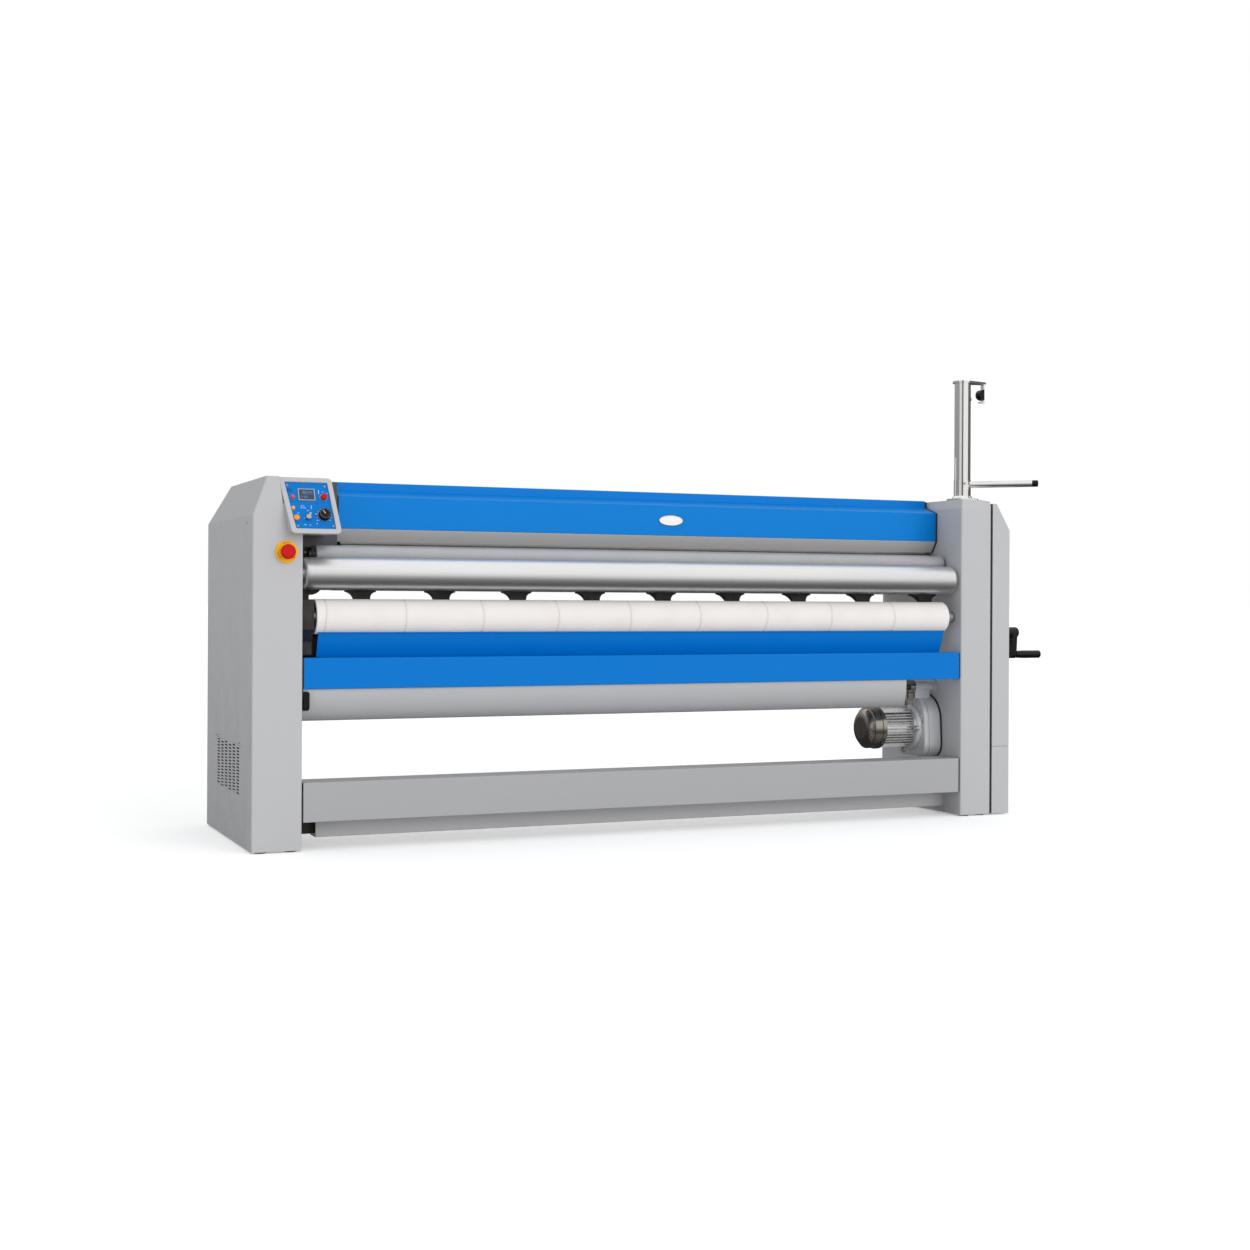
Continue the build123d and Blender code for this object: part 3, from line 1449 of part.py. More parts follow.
def arm_plane(distance):
    """Plane across the arm at a distance from the mast's axis."""
    angle = math.radians(arm_angle)
    return Plane(
        origin=(mast_x + distance * math.cos(angle), mast_y + distance * math.sin(angle), arm_z),
        x_dir=(0, 0, 1),
        z_dir=(math.cos(angle), math.sin(angle), 0),
    )


plate_z = (mast_height - 8, mast_height)
plate_radius, tab_width, tab_bottom = 39.5, 20, 1648
tab_x = (mast_x + 93, mast_x + 99)
foot_reach, foot_thickness = 14, 4
with BuildPart() as mast_post:
    with Locations((mast_x, mast_y, collar_z[0])):
        Cylinder(
            tube_radius,
            plate_z[0] - collar_z[0],
            align=(Align.CENTER, Align.CENTER, Align.MIN),
        )
        Cylinder(
            tube_radius + 1.5,
            collar_z[1] - collar_z[0],
            align=(Align.CENTER, Align.CENTER, Align.MIN),
        )
    with BuildSketch(Plane.XY.offset(plate_z[0])):
        with Locations((mast_x, mast_y)):
            Circle(plate_radius)
        with Locations((tab_x[1] - 9, mast_y)):
            Rectangle(20, tab_width + 12)
        make_hull()
    extrude(amount=plate_z[1] - plate_z[0])
    # slim guide strip up the tube's side
    strip_radius, strip_height = 3, 150
    with Locations((mast_x - tube_radius - 1.5, mast_y, collar_z[0] + 2)):
        Cylinder(strip_radius, strip_height, align=(Align.CENTER, Align.CENTER, Align.MIN))
    with BuildSketch(arm_plane(0)):
        Circle(arm_radius)
    extrude(amount=arm_reach - cap_length)
    # bore from the foot up to just below the plate
    with Locations((mast_x, mast_y, collar_z[0])):
        Cylinder(
            spigot_radius + running_clearance,
            plate_z[0] - collar_z[0] - 6,
            align=(Align.CENTER, Align.CENTER, Align.MIN),
            mode=Mode.SUBTRACT,
        )
    # hanging tab at the plate's outer end
    tab_y = (mast_y - tab_width / 2, mast_y + tab_width / 2)
    block(tab_x, tab_y, (tab_bottom, plate_z[0]))
    block((tab_x[0] - foot_reach, tab_x[1] + 2), tab_y, (tab_bottom - foot_thickness, tab_bottom))
write(mast_post, "mast_post")

with BuildPart() as mast_clip_pad:
    pad_radius, pad_z, pad_width = 21, 1676, 32
    with BuildSketch(Plane.XZ.offset(-mast_y + pad_width / 2)):
        with Locations((tab_x[0], pad_z)):
            Circle(pad_radius)
            Rectangle(pad_radius, 2 * pad_radius, align=(Align.MIN, Align.CENTER), mode=Mode.SUBTRACT)
    extrude(amount=-pad_width)
write(mast_clip_pad, "mast_clip_pad")

with BuildPart() as mast_arm_cap:
    arm_axis = Axis((0, 0, 0), tuple(arm_plane(0).z_dir))
    with BuildSketch(arm_plane(arm_reach - cap_length)):
        Circle(arm_radius)
    extrude(amount=cap_length)
    fillet(mast_arm_cap.edges().filter_by(GeomType.CIRCLE).sort_by(arm_axis)[-1], cap_round)
write(mast_arm_cap, "mast_arm_cap")
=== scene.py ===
import itertools
import math

import bmesh
import bpy
from mathutils import Matrix, Vector, noise


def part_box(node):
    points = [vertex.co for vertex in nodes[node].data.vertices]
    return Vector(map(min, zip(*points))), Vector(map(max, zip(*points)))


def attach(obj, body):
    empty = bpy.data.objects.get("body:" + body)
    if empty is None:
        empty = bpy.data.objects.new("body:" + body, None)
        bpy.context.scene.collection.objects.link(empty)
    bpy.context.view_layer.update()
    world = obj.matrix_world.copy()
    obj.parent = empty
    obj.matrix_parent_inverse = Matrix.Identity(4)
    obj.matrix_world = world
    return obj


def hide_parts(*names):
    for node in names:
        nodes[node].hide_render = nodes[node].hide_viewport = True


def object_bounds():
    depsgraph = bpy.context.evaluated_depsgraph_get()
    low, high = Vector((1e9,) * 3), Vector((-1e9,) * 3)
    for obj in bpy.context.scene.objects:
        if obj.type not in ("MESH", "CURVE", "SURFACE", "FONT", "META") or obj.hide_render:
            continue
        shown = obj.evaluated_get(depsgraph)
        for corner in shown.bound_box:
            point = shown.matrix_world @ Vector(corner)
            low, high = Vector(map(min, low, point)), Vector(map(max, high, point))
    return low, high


# Looks of the flatwork ironer. Metres; -Y is the operator's side, +Z is up.
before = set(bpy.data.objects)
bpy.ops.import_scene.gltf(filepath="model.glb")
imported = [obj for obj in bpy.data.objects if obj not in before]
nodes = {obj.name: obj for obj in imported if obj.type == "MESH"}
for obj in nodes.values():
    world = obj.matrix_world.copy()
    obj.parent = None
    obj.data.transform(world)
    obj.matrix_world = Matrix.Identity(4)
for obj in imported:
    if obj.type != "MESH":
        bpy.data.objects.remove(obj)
cad_low, cad_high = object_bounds()
MM = 0.001
FRONT, BACK, LEFT, RIGHT, UP = (0, -1, 0), (0, 1, 0), (-1, 0, 0), (1, 0, 0), (0, 0, 1)

x_left = cad_low.x
y_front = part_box("left_tower_shell")[0].y
stand = 0.2 * MM  # a printed or laid-on piece stands this far off the face below it


# ---- materials
def srgb(red, green, blue):
    """Linear colour of a screen colour, from 0 to 255."""
    linear = []
    for value in (red, green, blue):
        share = value / 255
        linear.append(share / 12.92 if share <= 0.04045 else ((share + 0.055) / 1.055) ** 2.4)
    return (*linear, 1.0)


def add_node(tree, kind, inputs=(), **settings):
    """New shader node; an input, by name or number, is a value or a socket to link from."""
    node = tree.nodes.new(kind)
    for key, value in settings.items():
        setattr(node, key, value)
    for key, value in dict(inputs).items():
        if isinstance(value, bpy.types.NodeSocket):
            tree.links.new(value, node.inputs[key])
        else:
            node.inputs[key].default_value = value
    return node


def map_range(tree, value, low, high, to_low, to_high):
    """Value carried from one range over to another."""
    limits = {"From Min": low, "From Max": high, "To Min": to_low, "To Max": to_high}
    return add_node(tree, "ShaderNodeMapRange", {"Value": value, **limits}).outputs["Result"]


looks = {}


class Look:
    """A Principled material, with short calls for the procedural detail on it."""

    def __init__(self, name, colour, roughness, metallic=0.0, **sockets):
        material = bpy.data.materials.new(name)
        material.use_nodes = True
        self.tree = material.node_tree
        self.shader = self.tree.nodes["Principled BSDF"]
        self.colour = srgb(*colour)
        self.roughness = roughness
        sockets.update(Base_Color=self.colour, Roughness=roughness, Metallic=metallic)
        for socket, value in sockets.items():
            self.shader.inputs[socket.replace("_", " ")].default_value = value
        looks[name] = material

    def add(self, kind, inputs=(), **settings):
        return add_node(self.tree, kind, inputs, **settings)

    def remap(self, value, low, high, to_low=0.0, to_high=1.0):
        return map_range(self.tree, value, low, high, to_low, to_high)

    def place(self, stretch=(1, 1, 1)):
        """The piece's own coordinates in metres, stretched."""
        own = self.add("ShaderNodeTexCoord").outputs["Object"]
        return self.add("ShaderNodeMapping", {"Vector": own, "Scale": stretch}).outputs["Vector"]

    def noise(self, scale, detail, stretch=(1, 1, 1), distortion=0.0):
        grain = {"Vector": self.place(stretch), "Scale": scale, "Detail": detail, "Distortion": distortion}
        return self.add("ShaderNodeTexNoise", grain).outputs["Fac"]

    def wave(self, direction, scale):
        """Fine parallel bands across X or Y."""
        bands = {"Vector": self.place(), "Scale": scale}
        return self.add("ShaderNodeTexWave", bands, bands_direction=direction).outputs["Fac"]

    def tint(self, share, colour):
        """Mixes a colour over what the base colour is so far."""
        base = self.shader.inputs["Base Color"]
        so_far = base.links[0].from_socket if base.is_linked else self.colour
        mix = self.add("ShaderNodeMix", {0: share, 6: so_far, 7: srgb(*colour)}, data_type="RGBA")
        self.tree.links.new(mix.outputs[2], base)

    def mottle(self, colour, amount, scale, detail, low=0.4, high=0.8, stretch=(1, 1, 1)):
        """Tints the high spots of a noise, up to an amount."""
        spots = self.noise(scale, detail, stretch)
        self.tint(self.remap(spots, low, high, 0.0, amount), colour)

    def vary_roughness(self, spread, scale, detail, stretch=(1, 1, 1)):
        clouds = self.noise(scale, detail, stretch)
        varied = self.remap(clouds, 0.3, 0.7, self.roughness - spread, self.roughness + spread)
        self.tree.links.new(varied, self.shader.inputs["Roughness"])

    def bump(self, height, distance, strength):
        """Adds relief on top of the relief so far."""
        normal = self.shader.inputs["Normal"]
        inputs = {"Height": height, "Strength": strength, "Distance": distance}
        if normal.is_linked:
            inputs["Normal"] = normal.links[0].from_socket
        self.tree.links.new(self.add("ShaderNodeBump", inputs).outputs["Normal"], normal)

    def relief(self, scale, detail, distance, strength, stretch=(1, 1, 1)):
        """Relief made by a noise."""
        self.bump(self.noise(scale, detail, stretch), distance, strength)

    def edge_wear_and_highlight(self, radius, colour, amount):
        """Rounds the shading of sharp edges and tints them, broken up by noise; the tint is partly wear
        and partly a painted highlight.
        """
        rounded = self.add("ShaderNodeBevel", {"Radius": radius}, samples=4).outputs["Normal"]
        self.tree.links.new(rounded, self.shader.inputs["Normal"])
        flat = self.add("ShaderNodeNewGeometry").outputs["True Normal"]
        dot = self.add("ShaderNodeVectorMath", {0: rounded, 1: flat}, operation="DOT_PRODUCT")
        edge = self.remap(dot.outputs["Value"], 0.995, 0.85)
        patchy = self.remap(self.noise(45, 4), 0.4, 0.65, 0.15, amount)
        both = self.add("ShaderNodeMath", {0: edge, 1: patchy}, operation="MULTIPLY")
        self.tint(both.outputs[0], colour)


def painted(name, colour, light, dark, roughness=0.42, grain=900, gloss=0.4):
    """Powder coat: fine orange peel, faint cloudiness, specks, and soft edges that are worn and carry a
    painted highlight.
    """
    look = Look(name, colour, roughness, Specular_IOR_Level=gloss)
    # edges tinted with the light colour: partly wear, partly a painted highlight
    look.edge_wear_and_highlight(2.0 * MM, light, 0.7)
    look.mottle(dark, 0.06, 1.7, 4, high=0.75)
    look.mottle(light, 0.3, grain * 0.8, 2, low=0.62, high=0.74)
    look.vary_roughness(0.07, 14, 5)
    look.relief(grain, 2, 0.12 * MM, 0.35)


def paints():
    # columns: name, base tone, light tone for the specks and the painted edge highlight, dark tone for the
    # cloudiness
    for name, tone, light, dark in (
        ("grey_paint", 190, 214, 178),
        ("beam_paint", 172, 202, 160),
        ("apron_paint", 190, 212, 178),
        ("lip_paint", 188, 210, 178),
        # dark grey: painted shade, the end box's grey as it looks in the shadow under the console
        ("box_paint", 76, 108, 66),
    ):
        painted(name, *((level, level, level + 2) for level in (tone, light, dark)))
    painted("blue_paint", (0, 126, 211), (14, 138, 222), (0, 118, 202), roughness=0.36, gloss=0.12)
    painted("bar_blue", (0, 118, 204), (12, 132, 216), (0, 110, 194), roughness=0.36, gloss=0.1)
    # blue darkened to painted shade, for the plate beside the tray board
    painted("painted_shade_blue", (0, 20, 38), (14, 44, 70), (0, 14, 28), roughness=0.5, gloss=0.1)
    painted("console_grey", (190, 190, 192), (222, 222, 224), (176, 177, 180), grain=1400)
    painted("console_blue", (0, 118, 203), (16, 132, 216), (0, 108, 192), grain=1600, gloss=0.14)


def metals():
    along_x = (1.0, 0.02, 0.02)
    steel = Look("roller_steel", (236, 236, 237), 0.4, metallic=1.0)
    lines = steel.noise(900, 2, stretch=(1.0, 0.015, 0.015))
    steel.mottle((208, 209, 211), 0.08, 3, 3, stretch=(0.2, 1, 1))
    steel.tint(steel.remap(lines, 0.55, 0.75, 0.0, 0.3), (246, 246, 247))
    steel.vary_roughness(0.02, 6, 2, stretch=(0.2, 1, 1))
    steel.bump(lines, 0.02 * MM, 0.4)

    satin = Look("roller_satin", (182, 183, 186), 0.48, metallic=0.6)
    satin.mottle((160, 161, 164), 0.3, 8, 5)
    satin.relief(700, 2, 0.04 * MM, 0.5, stretch=along_x)

    drum = Look("drum_steel", (196, 197, 200), 0.22, metallic=1.0)
    drum.mottle((150, 146, 138), 0.4, 6, 6, low=0.45)
    drum.relief(800, 2, 0.02 * MM, 0.5, stretch=along_x)

    black = Look("black_steel", (52, 49, 47), 0.5, metallic=0.3)
    black.edge_wear_and_highlight(1.2 * MM, (120, 114, 108), 0.6)
    black.mottle((76, 70, 65), 0.6, 30, 6, low=0.42, high=0.75)
    black.vary_roughness(0.12, 50, 5)
    black.relief(500, 4, 0.12 * MM, 0.5)

    fins = Look("cast_aluminium", (228, 228, 228), 0.26, metallic=0.9)
    fins.mottle((170, 168, 166), 0.2, 40, 3, low=0.5, stretch=(0.1, 1, 1))
    fins.vary_roughness(0.04, 40, 4)
    fins.relief(420, 2, 0.03 * MM, 0.15)

    cast = Look("gearbox_paint", (218, 218, 220), 0.34, metallic=0.35)
    # bright rims: partly wear, partly a painted highlight
    cast.edge_wear_and_highlight(1.4 * MM, (244, 244, 245), 0.6)
    cast.mottle((172, 172, 174), 0.3, 14, 6, low=0.45)
    cast.relief(260, 4, 0.35 * MM, 0.4)

    cowl = Look("cowl_steel", (168, 160, 152), 0.25, metallic=1.0)
    cowl.mottle((132, 124, 116), 0.15, 9, 3, low=0.42, high=0.78)
    cowl.vary_roughness(0.03, 35, 3)
    cowl.relief(300, 2, 0.03 * MM, 0.2)

    stainless = Look("stainless", (236, 235, 233), 0.1, metallic=1.0)
    stainless.mottle((188, 185, 181), 0.15, 18, 5, low=0.45, stretch=(1, 1, 0.1))
    stainless.vary_roughness(0.03, 22, 5)
    stainless.relief(500, 3, 0.02 * MM, 0.4, stretch=(1, 1, 0.02))

    screw = Look("screw_steel", (196, 190, 180), 0.3, metallic=1.0)
    screw.mottle((140, 128, 112), 0.5, 400, 3, high=0.7)
    screw.relief(1500, 2, 0.05 * MM, 0.5)


def fabrics():
    felt = Look("felt", (239, 234, 230), 0.95, Sheen_Weight=0.2, Sheen_Roughness=0.5)
    fibres = felt.noise(1500, 4, distortion=1.2)
    felt.mottle((222, 211, 202), 0.3, 9, 6, low=0.42)
    felt.tint(felt.remap(fibres, 0.55, 0.8, 0.0, 0.4), (206, 198, 190))
    felt.relief(260, 4, 0.25 * MM, 0.4)
    felt.bump(fibres, 0.18 * MM, 0.7)

    belt = Look("belt_fabric", (206, 190, 158), 0.92, Sheen_Weight=0.2)
    belt.mottle((170, 146, 108), 0.5, 20, 6)
    belt.bump(belt.wave("X", 300), 0.2 * MM, 0.6)
    belt.relief(1200, 3, 0.15 * MM, 0.5)

    stitch = Look("stitch_thread", (204, 172, 142), 0.8)
    stitch.mottle((160, 122, 90), 0.6, 600, 2, high=0.7)
    stitch.relief(3000, 2, 0.1 * MM, 0.6)

    screen = Look("screen_mesh", (22, 22, 24), 0.7)
    threads = screen.wave("Y", 160)
    screen.tint(screen.remap(threads, 0.3, 0.9, 0.0, 0.5), (48, 48, 50))
    screen.bump(threads, 0.4 * MM, 0.8)


def plastics():
    """Moulded plastics with fine grain and faint shade variation, rubber and lamp lenses."""
    for name, colour, shade, roughness, gloss in (
        ("red_plastic", (204, 10, 14), (168, 8, 10), 0.36, 0.2),
        ("yellow_plastic", (253, 192, 0), (238, 166, 0), 0.4, 0.2),
        ("orange_plastic", (252, 156, 22), (224, 118, 8), 0.3, 0.5),
        ("black_plastic", (12, 11, 11), (28, 26, 25), 0.38, 0.25),
        ("grip_plastic", (14, 13, 13), (30, 28, 27), 0.26, 0.3),
        ("white_badge", (248, 247, 245), (228, 226, 222), 0.3, 0.5),
        ("print_white", (236, 240, 244), (206, 214, 224), 0.6, 0.5),
        ("print_dark", (20, 38, 64), (34, 60, 92), 0.6, 0.5),
        ("fan_plastic", (40, 40, 42), (60, 60, 62), 0.5, 0.5),
        ("lcd", (34, 62, 98), (22, 44, 74), 0.22, 0.5),
        ("lcd_marks", (120, 156, 190), (90, 126, 164), 0.5, 0.5),
    ):
        look = Look(name, colour, roughness, Specular_IOR_Level=gloss)
        look.mottle(shade, 0.45, 120, 5, high=0.75)
        look.vary_roughness(0.06, 200, 4)
        look.relief(2200, 2, 0.04 * MM, 0.4)

    rubber = Look("rubber", (38, 37, 36), 0.82)
    rubber.mottle((66, 63, 60), 0.5, 60, 6, low=0.42, high=0.75)
    rubber.relief(900, 3, 0.1 * MM, 0.6)

    for name, colour, glint in (
        ("lamp_red", (226, 40, 26), (250, 120, 90)),
        ("lamp_amber", (236, 170, 60), (255, 214, 140)),
    ):
        lamp = Look(name, colour, 0.15, Coat_Weight=0.6)
        lamp.mottle(glint, 0.5, 300, 2, high=0.7)


paints()
metals()
fabrics()
plastics()


carried_over = {
    "grey_paint": (
        "left_tower_shell",
        "left_back_panel",
        "left_vent_grille",
        "right_tower_shell",
        "right_cover_upper",
        "right_cover_lower",
        "rear_cover",
        "sub_beam",
    ),
    "lip_paint": ("hood_lip",),
    # the hood end box's dark grey is painted shade
    "box_paint": ("hood_end_box",),
    "beam_paint": ("bottom_beam",),
    "blue_paint": ("hood",),
    "bar_blue": ("front_bar", "tray_board"),
    "console_grey": ("console_bezel",),
    "console_blue": ("console_panel",),
    "roller_steel": ("feed_roller", "output_shaft", "delivery_roller"),
    "roller_satin": ("press_roller",),
    "drum_steel": (
        "heated_cylinder",
        "guide_roller_upper",
        "guide_roller_lower",
        "tension_roller",
        "heater_bundle",
        "roller_bearings",
    ),
    "black_steel": (
        "guide_fingers",
        "finger_rail",
        "press_roller_bracket",
        "left_end_housing",
        "drive_chain",
    ),
    "cast_aluminium": ("motor_body",),
    "gearbox_paint": ("gearbox_housing", "gearbox_bracket"),
    "cowl_steel": ("fan_cowl", "bracket_pin"),
    "stainless": ("mast_post", "mast_base"),
    "screw_steel": ("display", "selector_switch"),
    "red_plastic": ("e_stop_button", "stop_button"),
    "yellow_plastic": ("e_stop_disc",),
    "orange_plastic": ("start_button",),
    "black_plastic": ("speed_knob", "apron_end_cap", "mast_arm_cap", "cable_gland", "mast_clip_pad"),
    "grip_plastic": ("crank", "crank_grip"),
    "white_badge": ("badge_plate",),
    "fan_plastic": ("motor_fan",),
    "rubber": ("hood_seals", "levelling_feet"),
    "lamp_amber": ("signal_lamps",),
    "belt_fabric": ("ironing_belt",),
    "felt": ("felt_cover",),
}


def finish_node(name, material):
    """Gives a CAD node its finish."""
    node = nodes[name]
    if not node.data.materials:
        node.data.materials.append(material)
    for slot in node.material_slots:
        slot.link = "OBJECT"
        slot.material = material


for look_name, node_names in carried_over.items():
    for node_name in node_names:
        finish_node(node_name, looks[look_name])


# ---- mesh helpers
def new_object(name, mesh):
    """Object made of a bmesh, linked into the scene."""
    data = bpy.data.meshes.new(name)
    mesh.to_mesh(data)
    mesh.free()
    made = bpy.data.objects.new(name, data)
    bpy.context.scene.collection.objects.link(made)
    return made


def piece(name, mesh, look, body, smooth_angle=35):
    """Makes a piece of a bmesh and lets it ride on a CAD body."""
    bmesh.ops.recalc_face_normals(mesh, faces=mesh.faces)
    made = new_object(name, mesh)
    made.data.materials.append(looks[look])
    made.data.shade_smooth()
    made.data.set_sharp_from_angle(angle=math.radians(smooth_angle))
    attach(made, body)
    return made


def loft(mesh, rings, closed=False, caps=True):
    """Joins rings of points, each a closed loop of the same count, into a skin."""
    made = [[mesh.verts.new(point) for point in ring] for ring in rings]
    count = len(made[0])
    pairs = list(zip(made, made[1:]))
    if closed:
        pairs.append((made[-1], made[0]))
    for near, far in pairs:
        for i in range(count):
            j = (i + 1) % count
            mesh.faces.new((near[i], near[j], far[j], far[i]))
    if caps and not closed:
        mesh.faces.new(made[0])
        mesh.faces.new(made[-1])


def circle(matrix, radius, height, count, radius_of=None):
    """Points of a ring in matrix's XY plane, height along its Z."""
    points = []
    for i in range(count):
        angle = math.tau * i / count
        reach = radius * (radius_of(angle) if radius_of else 1.0)
        points.append(matrix @ Vector((reach * math.cos(angle), reach * math.sin(angle), height)))
    return points


def hexagon(angle):
    """Share of the corner radius at an angle round a hexagon."""
    third = math.pi / 3
    return math.cos(third / 2) / math.cos(angle % third - third / 2)


def frame_at(place, normal, up=UP):
    """Matrix at a place whose Z axis is the normal."""
    z_axis = Vector(normal).normalized()
    y_axis = (Vector(up) - Vector(up).dot(z_axis) * z_axis).normalized()
    x_axis = y_axis.cross(z_axis)
    turn = Matrix((x_axis, y_axis, z_axis)).transposed().to_4x4()
    return Matrix.Translation(Vector(place)) @ turn


def centre_of(low, high):
    """Middle of a box or an edge."""
    return (low + high) / 2


def spot(x, y, z):
    """Place in metres of millimetres from the left tower's front foot."""
    return (x_left + x * MM, y_front + y * MM, z * MM)


def turned(matrix, degrees, reach=0.0, lift=stand):
    """Matrix turned about its Z axis, then moved out along the turned X and up."""
    turn = Matrix.Rotation(math.radians(degrees), 4, "Z")
    return matrix @ (turn @ Matrix.Translation((reach, 0, lift)))


def heading(degrees):
    """Level direction at an angle from +X."""
    angle = math.radians(degrees)
    return Vector((math.cos(angle), math.sin(angle), 0))


def screw_head(mesh, matrix, radius):
    """Domed head with a hexagon socket."""
    profile = (
        (1.0, 0.0, None),
        (1.0, 0.18, None),
        (0.9, 0.36, None),
        (0.72, 0.48, None),
        (0.5, 0.52, None),
        (0.42, 0.5, hexagon),
        (0.38, 0.18, hexagon),
    )
    rings = [circle(matrix, radius * wide, radius * high, 24, form) for wide, high, form in profile]
    loft(mesh, rings)


def screw_rows(mesh, normal, radius, columns, depths, levels):
    """Screw heads at every crossing of the X, Y and Z values."""
    for place in itertools.product(columns, depths, levels):
        screw_head(mesh, frame_at(place, normal), radius)


def tube_loop(mesh, matrix, line, tube, sides):
    """Closed round tube along (place, outward direction) pairs given in matrix's frame."""
    rings = []
    for place, out in line:
        points = []
        for j in range(sides):
            around = math.tau * j / sides
            offset = out * tube * math.cos(around) + Vector((0, 0, tube * math.sin(around)))
            points.append(matrix @ (place + offset))
        rings.append(points)
    loft(mesh, rings, closed=True)


def ring(mesh, matrix, radius, tube, height=0.0, segments=48, sides=6):
    """Torus round matrix's Z axis."""
    line = []
    for i in range(segments):
        turn = math.tau * i / segments
        out = Vector((math.cos(turn), math.sin(turn), 0))
        line.append((out * radius + Vector((0, 0, height)), out))
    tube_loop(mesh, matrix, line, tube, sides)


def rectangle(matrix, wide, high, level, middle=(0, 0)):
    """Corners of a rectangle parallel to matrix's XY plane."""
    return [
        matrix @ Vector((middle[0] + side_x * wide / 2, middle[1] + side_y * high / 2, level))
        for side_x, side_y in ((-1, -1), (1, -1), (1, 1), (-1, 1))
    ]


def slab(mesh, matrix, wide, high, thick, middle=(0, 0)):
    """Thin plate on matrix's XY plane, with a narrow chamfer round its top."""
    edge = min(wide, high, thick) * 0.3
    rings = []
    for inset, level in ((0, 0), (0, thick - edge), (edge, thick)):
        rings.append(rectangle(matrix, wide - 2 * inset, high - 2 * inset, level, middle))
    loft(mesh, rings)


def collar(mesh, matrix, wide, high, rim, thick):
    """Flat rectangular frame on matrix's XY plane; rim is the width of its sides."""
    rings = []
    for inset, level in ((0, 0), (0, thick), (rim, thick), (rim, 0)):
        rings.append(rectangle(matrix, wide - 2 * inset, high - 2 * inset, level))
    loft(mesh, rings, closed=True)


def thread(mesh, points, radius):
    """Short tube through points."""
    sides, last = 5, len(points) - 1
    rings = []
    for i, point in enumerate(points):
        along = (points[min(i + 1, last)] - points[max(i - 1, 0)]).normalized()
        matrix = frame_at(point, along, up=(0.3, 0.5, 0.8))
        rings.append(circle(matrix, radius, 0, sides))
    loft(mesh, rings)


# ---- felt cover of the delivery roller
def felt_cover():
    """Felt sleeve with shallow sewn seams and the stitches in them."""
    low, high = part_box("felt_cover")
    roller_low, roller_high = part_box("delivery_roller")
    axis_y, axis_z = (low.y + high.y) / 2, (low.z + high.z) / 2
    outer = (high.z - low.z) / 2
    core = min((roller_high.y - roller_low.y) / 2, outer - 5.2 * MM)
    seam_pitch, first_seam = 279 * MM, x_left + 249 * MM
    seams = [first_seam + i * seam_pitch for i in range(9)]
    around, steps_between = 96, 26
    border, bevel = 4 * MM, 1.2 * MM

    def seam_x(index, angle):
        """A seam wanders a little round the roller."""
        sway = 1.6 * MM * math.sin(angle + index) + 0.8 * MM * math.sin(3 * angle + 2 * index)
        return seams[index] + sway

    def surface(x, angle):
        """Radius with the seams' grooves, the puckers beside them and a slow wave."""
        nearest = min(range(len(seams)), key=lambda i: abs(x - seams[i]))
        gap = x - seam_x(nearest, angle)
        groove = 1.3 * MM * math.exp(-((gap / (3.2 * MM)) ** 2))
        pucker = 0.35 * MM * math.exp(-((gap / (16 * MM)) ** 2)) * math.sin(26 * angle + nearest)
        wave = 0.3 * MM * noise.noise(Vector((x * 14, 1.6 * math.cos(angle), 1.6 * math.sin(angle))))
        return outer - groove + pucker + wave

    def at(x, angle, reach):
        return Vector((x, axis_y + reach * math.cos(angle), axis_z + reach * math.sin(angle)))

    def loop(x, radius=None):
        """Ring of the sleeve; without a radius it follows the surface."""
        angles = [math.tau * i / around for i in range(around)]
        return [at(x, angle, radius or surface(x, angle)) for angle in angles]

    stops = [low.x + border]
    for mark in (*seams, high.x - border):
        start = stops[-1]
        for step in range(1, steps_between + 1):
            share = step / steps_between
            eased = share - math.sin(math.tau * share) / math.tau * 0.75  # rings crowd at the seams
            stops.append(start + (mark - start) * eased)
    rings = [loop(low.x, core), loop(low.x, outer - border), loop(low.x + bevel, outer - bevel)]
    rings += [loop(x) for x in stops]
    rings += [loop(high.x - bevel, outer - bevel), loop(high.x, outer - border), loop(high.x, core)]
    mesh = bmesh.new()
    loft(mesh, rings, closed=True)
    cover = piece("felt_sleeve", mesh, "felt", "delivery_roller", smooth_angle=60)
    cover.visible_glossy = False
    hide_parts("felt_cover")

    threads = bmesh.new()
    stitches, half_width, thread_radius = 64, 3.6 * MM, 0.5 * MM
    run = math.tau / stitches * 0.46
    for index in range(len(seams)):
        for stitch in range(stitches):
            slant = 1 if stitch % 2 else -1
            ends = []
            for side in (-1, 0, 1):
                turn = math.tau * stitch / stitches + side * run * slant
                x = seam_x(index, turn) + side * half_width
                lift = 0.35 * MM if side == 0 else -0.25 * MM
                ends.append(at(x, turn, surface(x, turn) + lift))
            thread(threads, ends, thread_radius)
    stitching = piece("felt_stitching", threads, "stitch_thread", "delivery_roller")


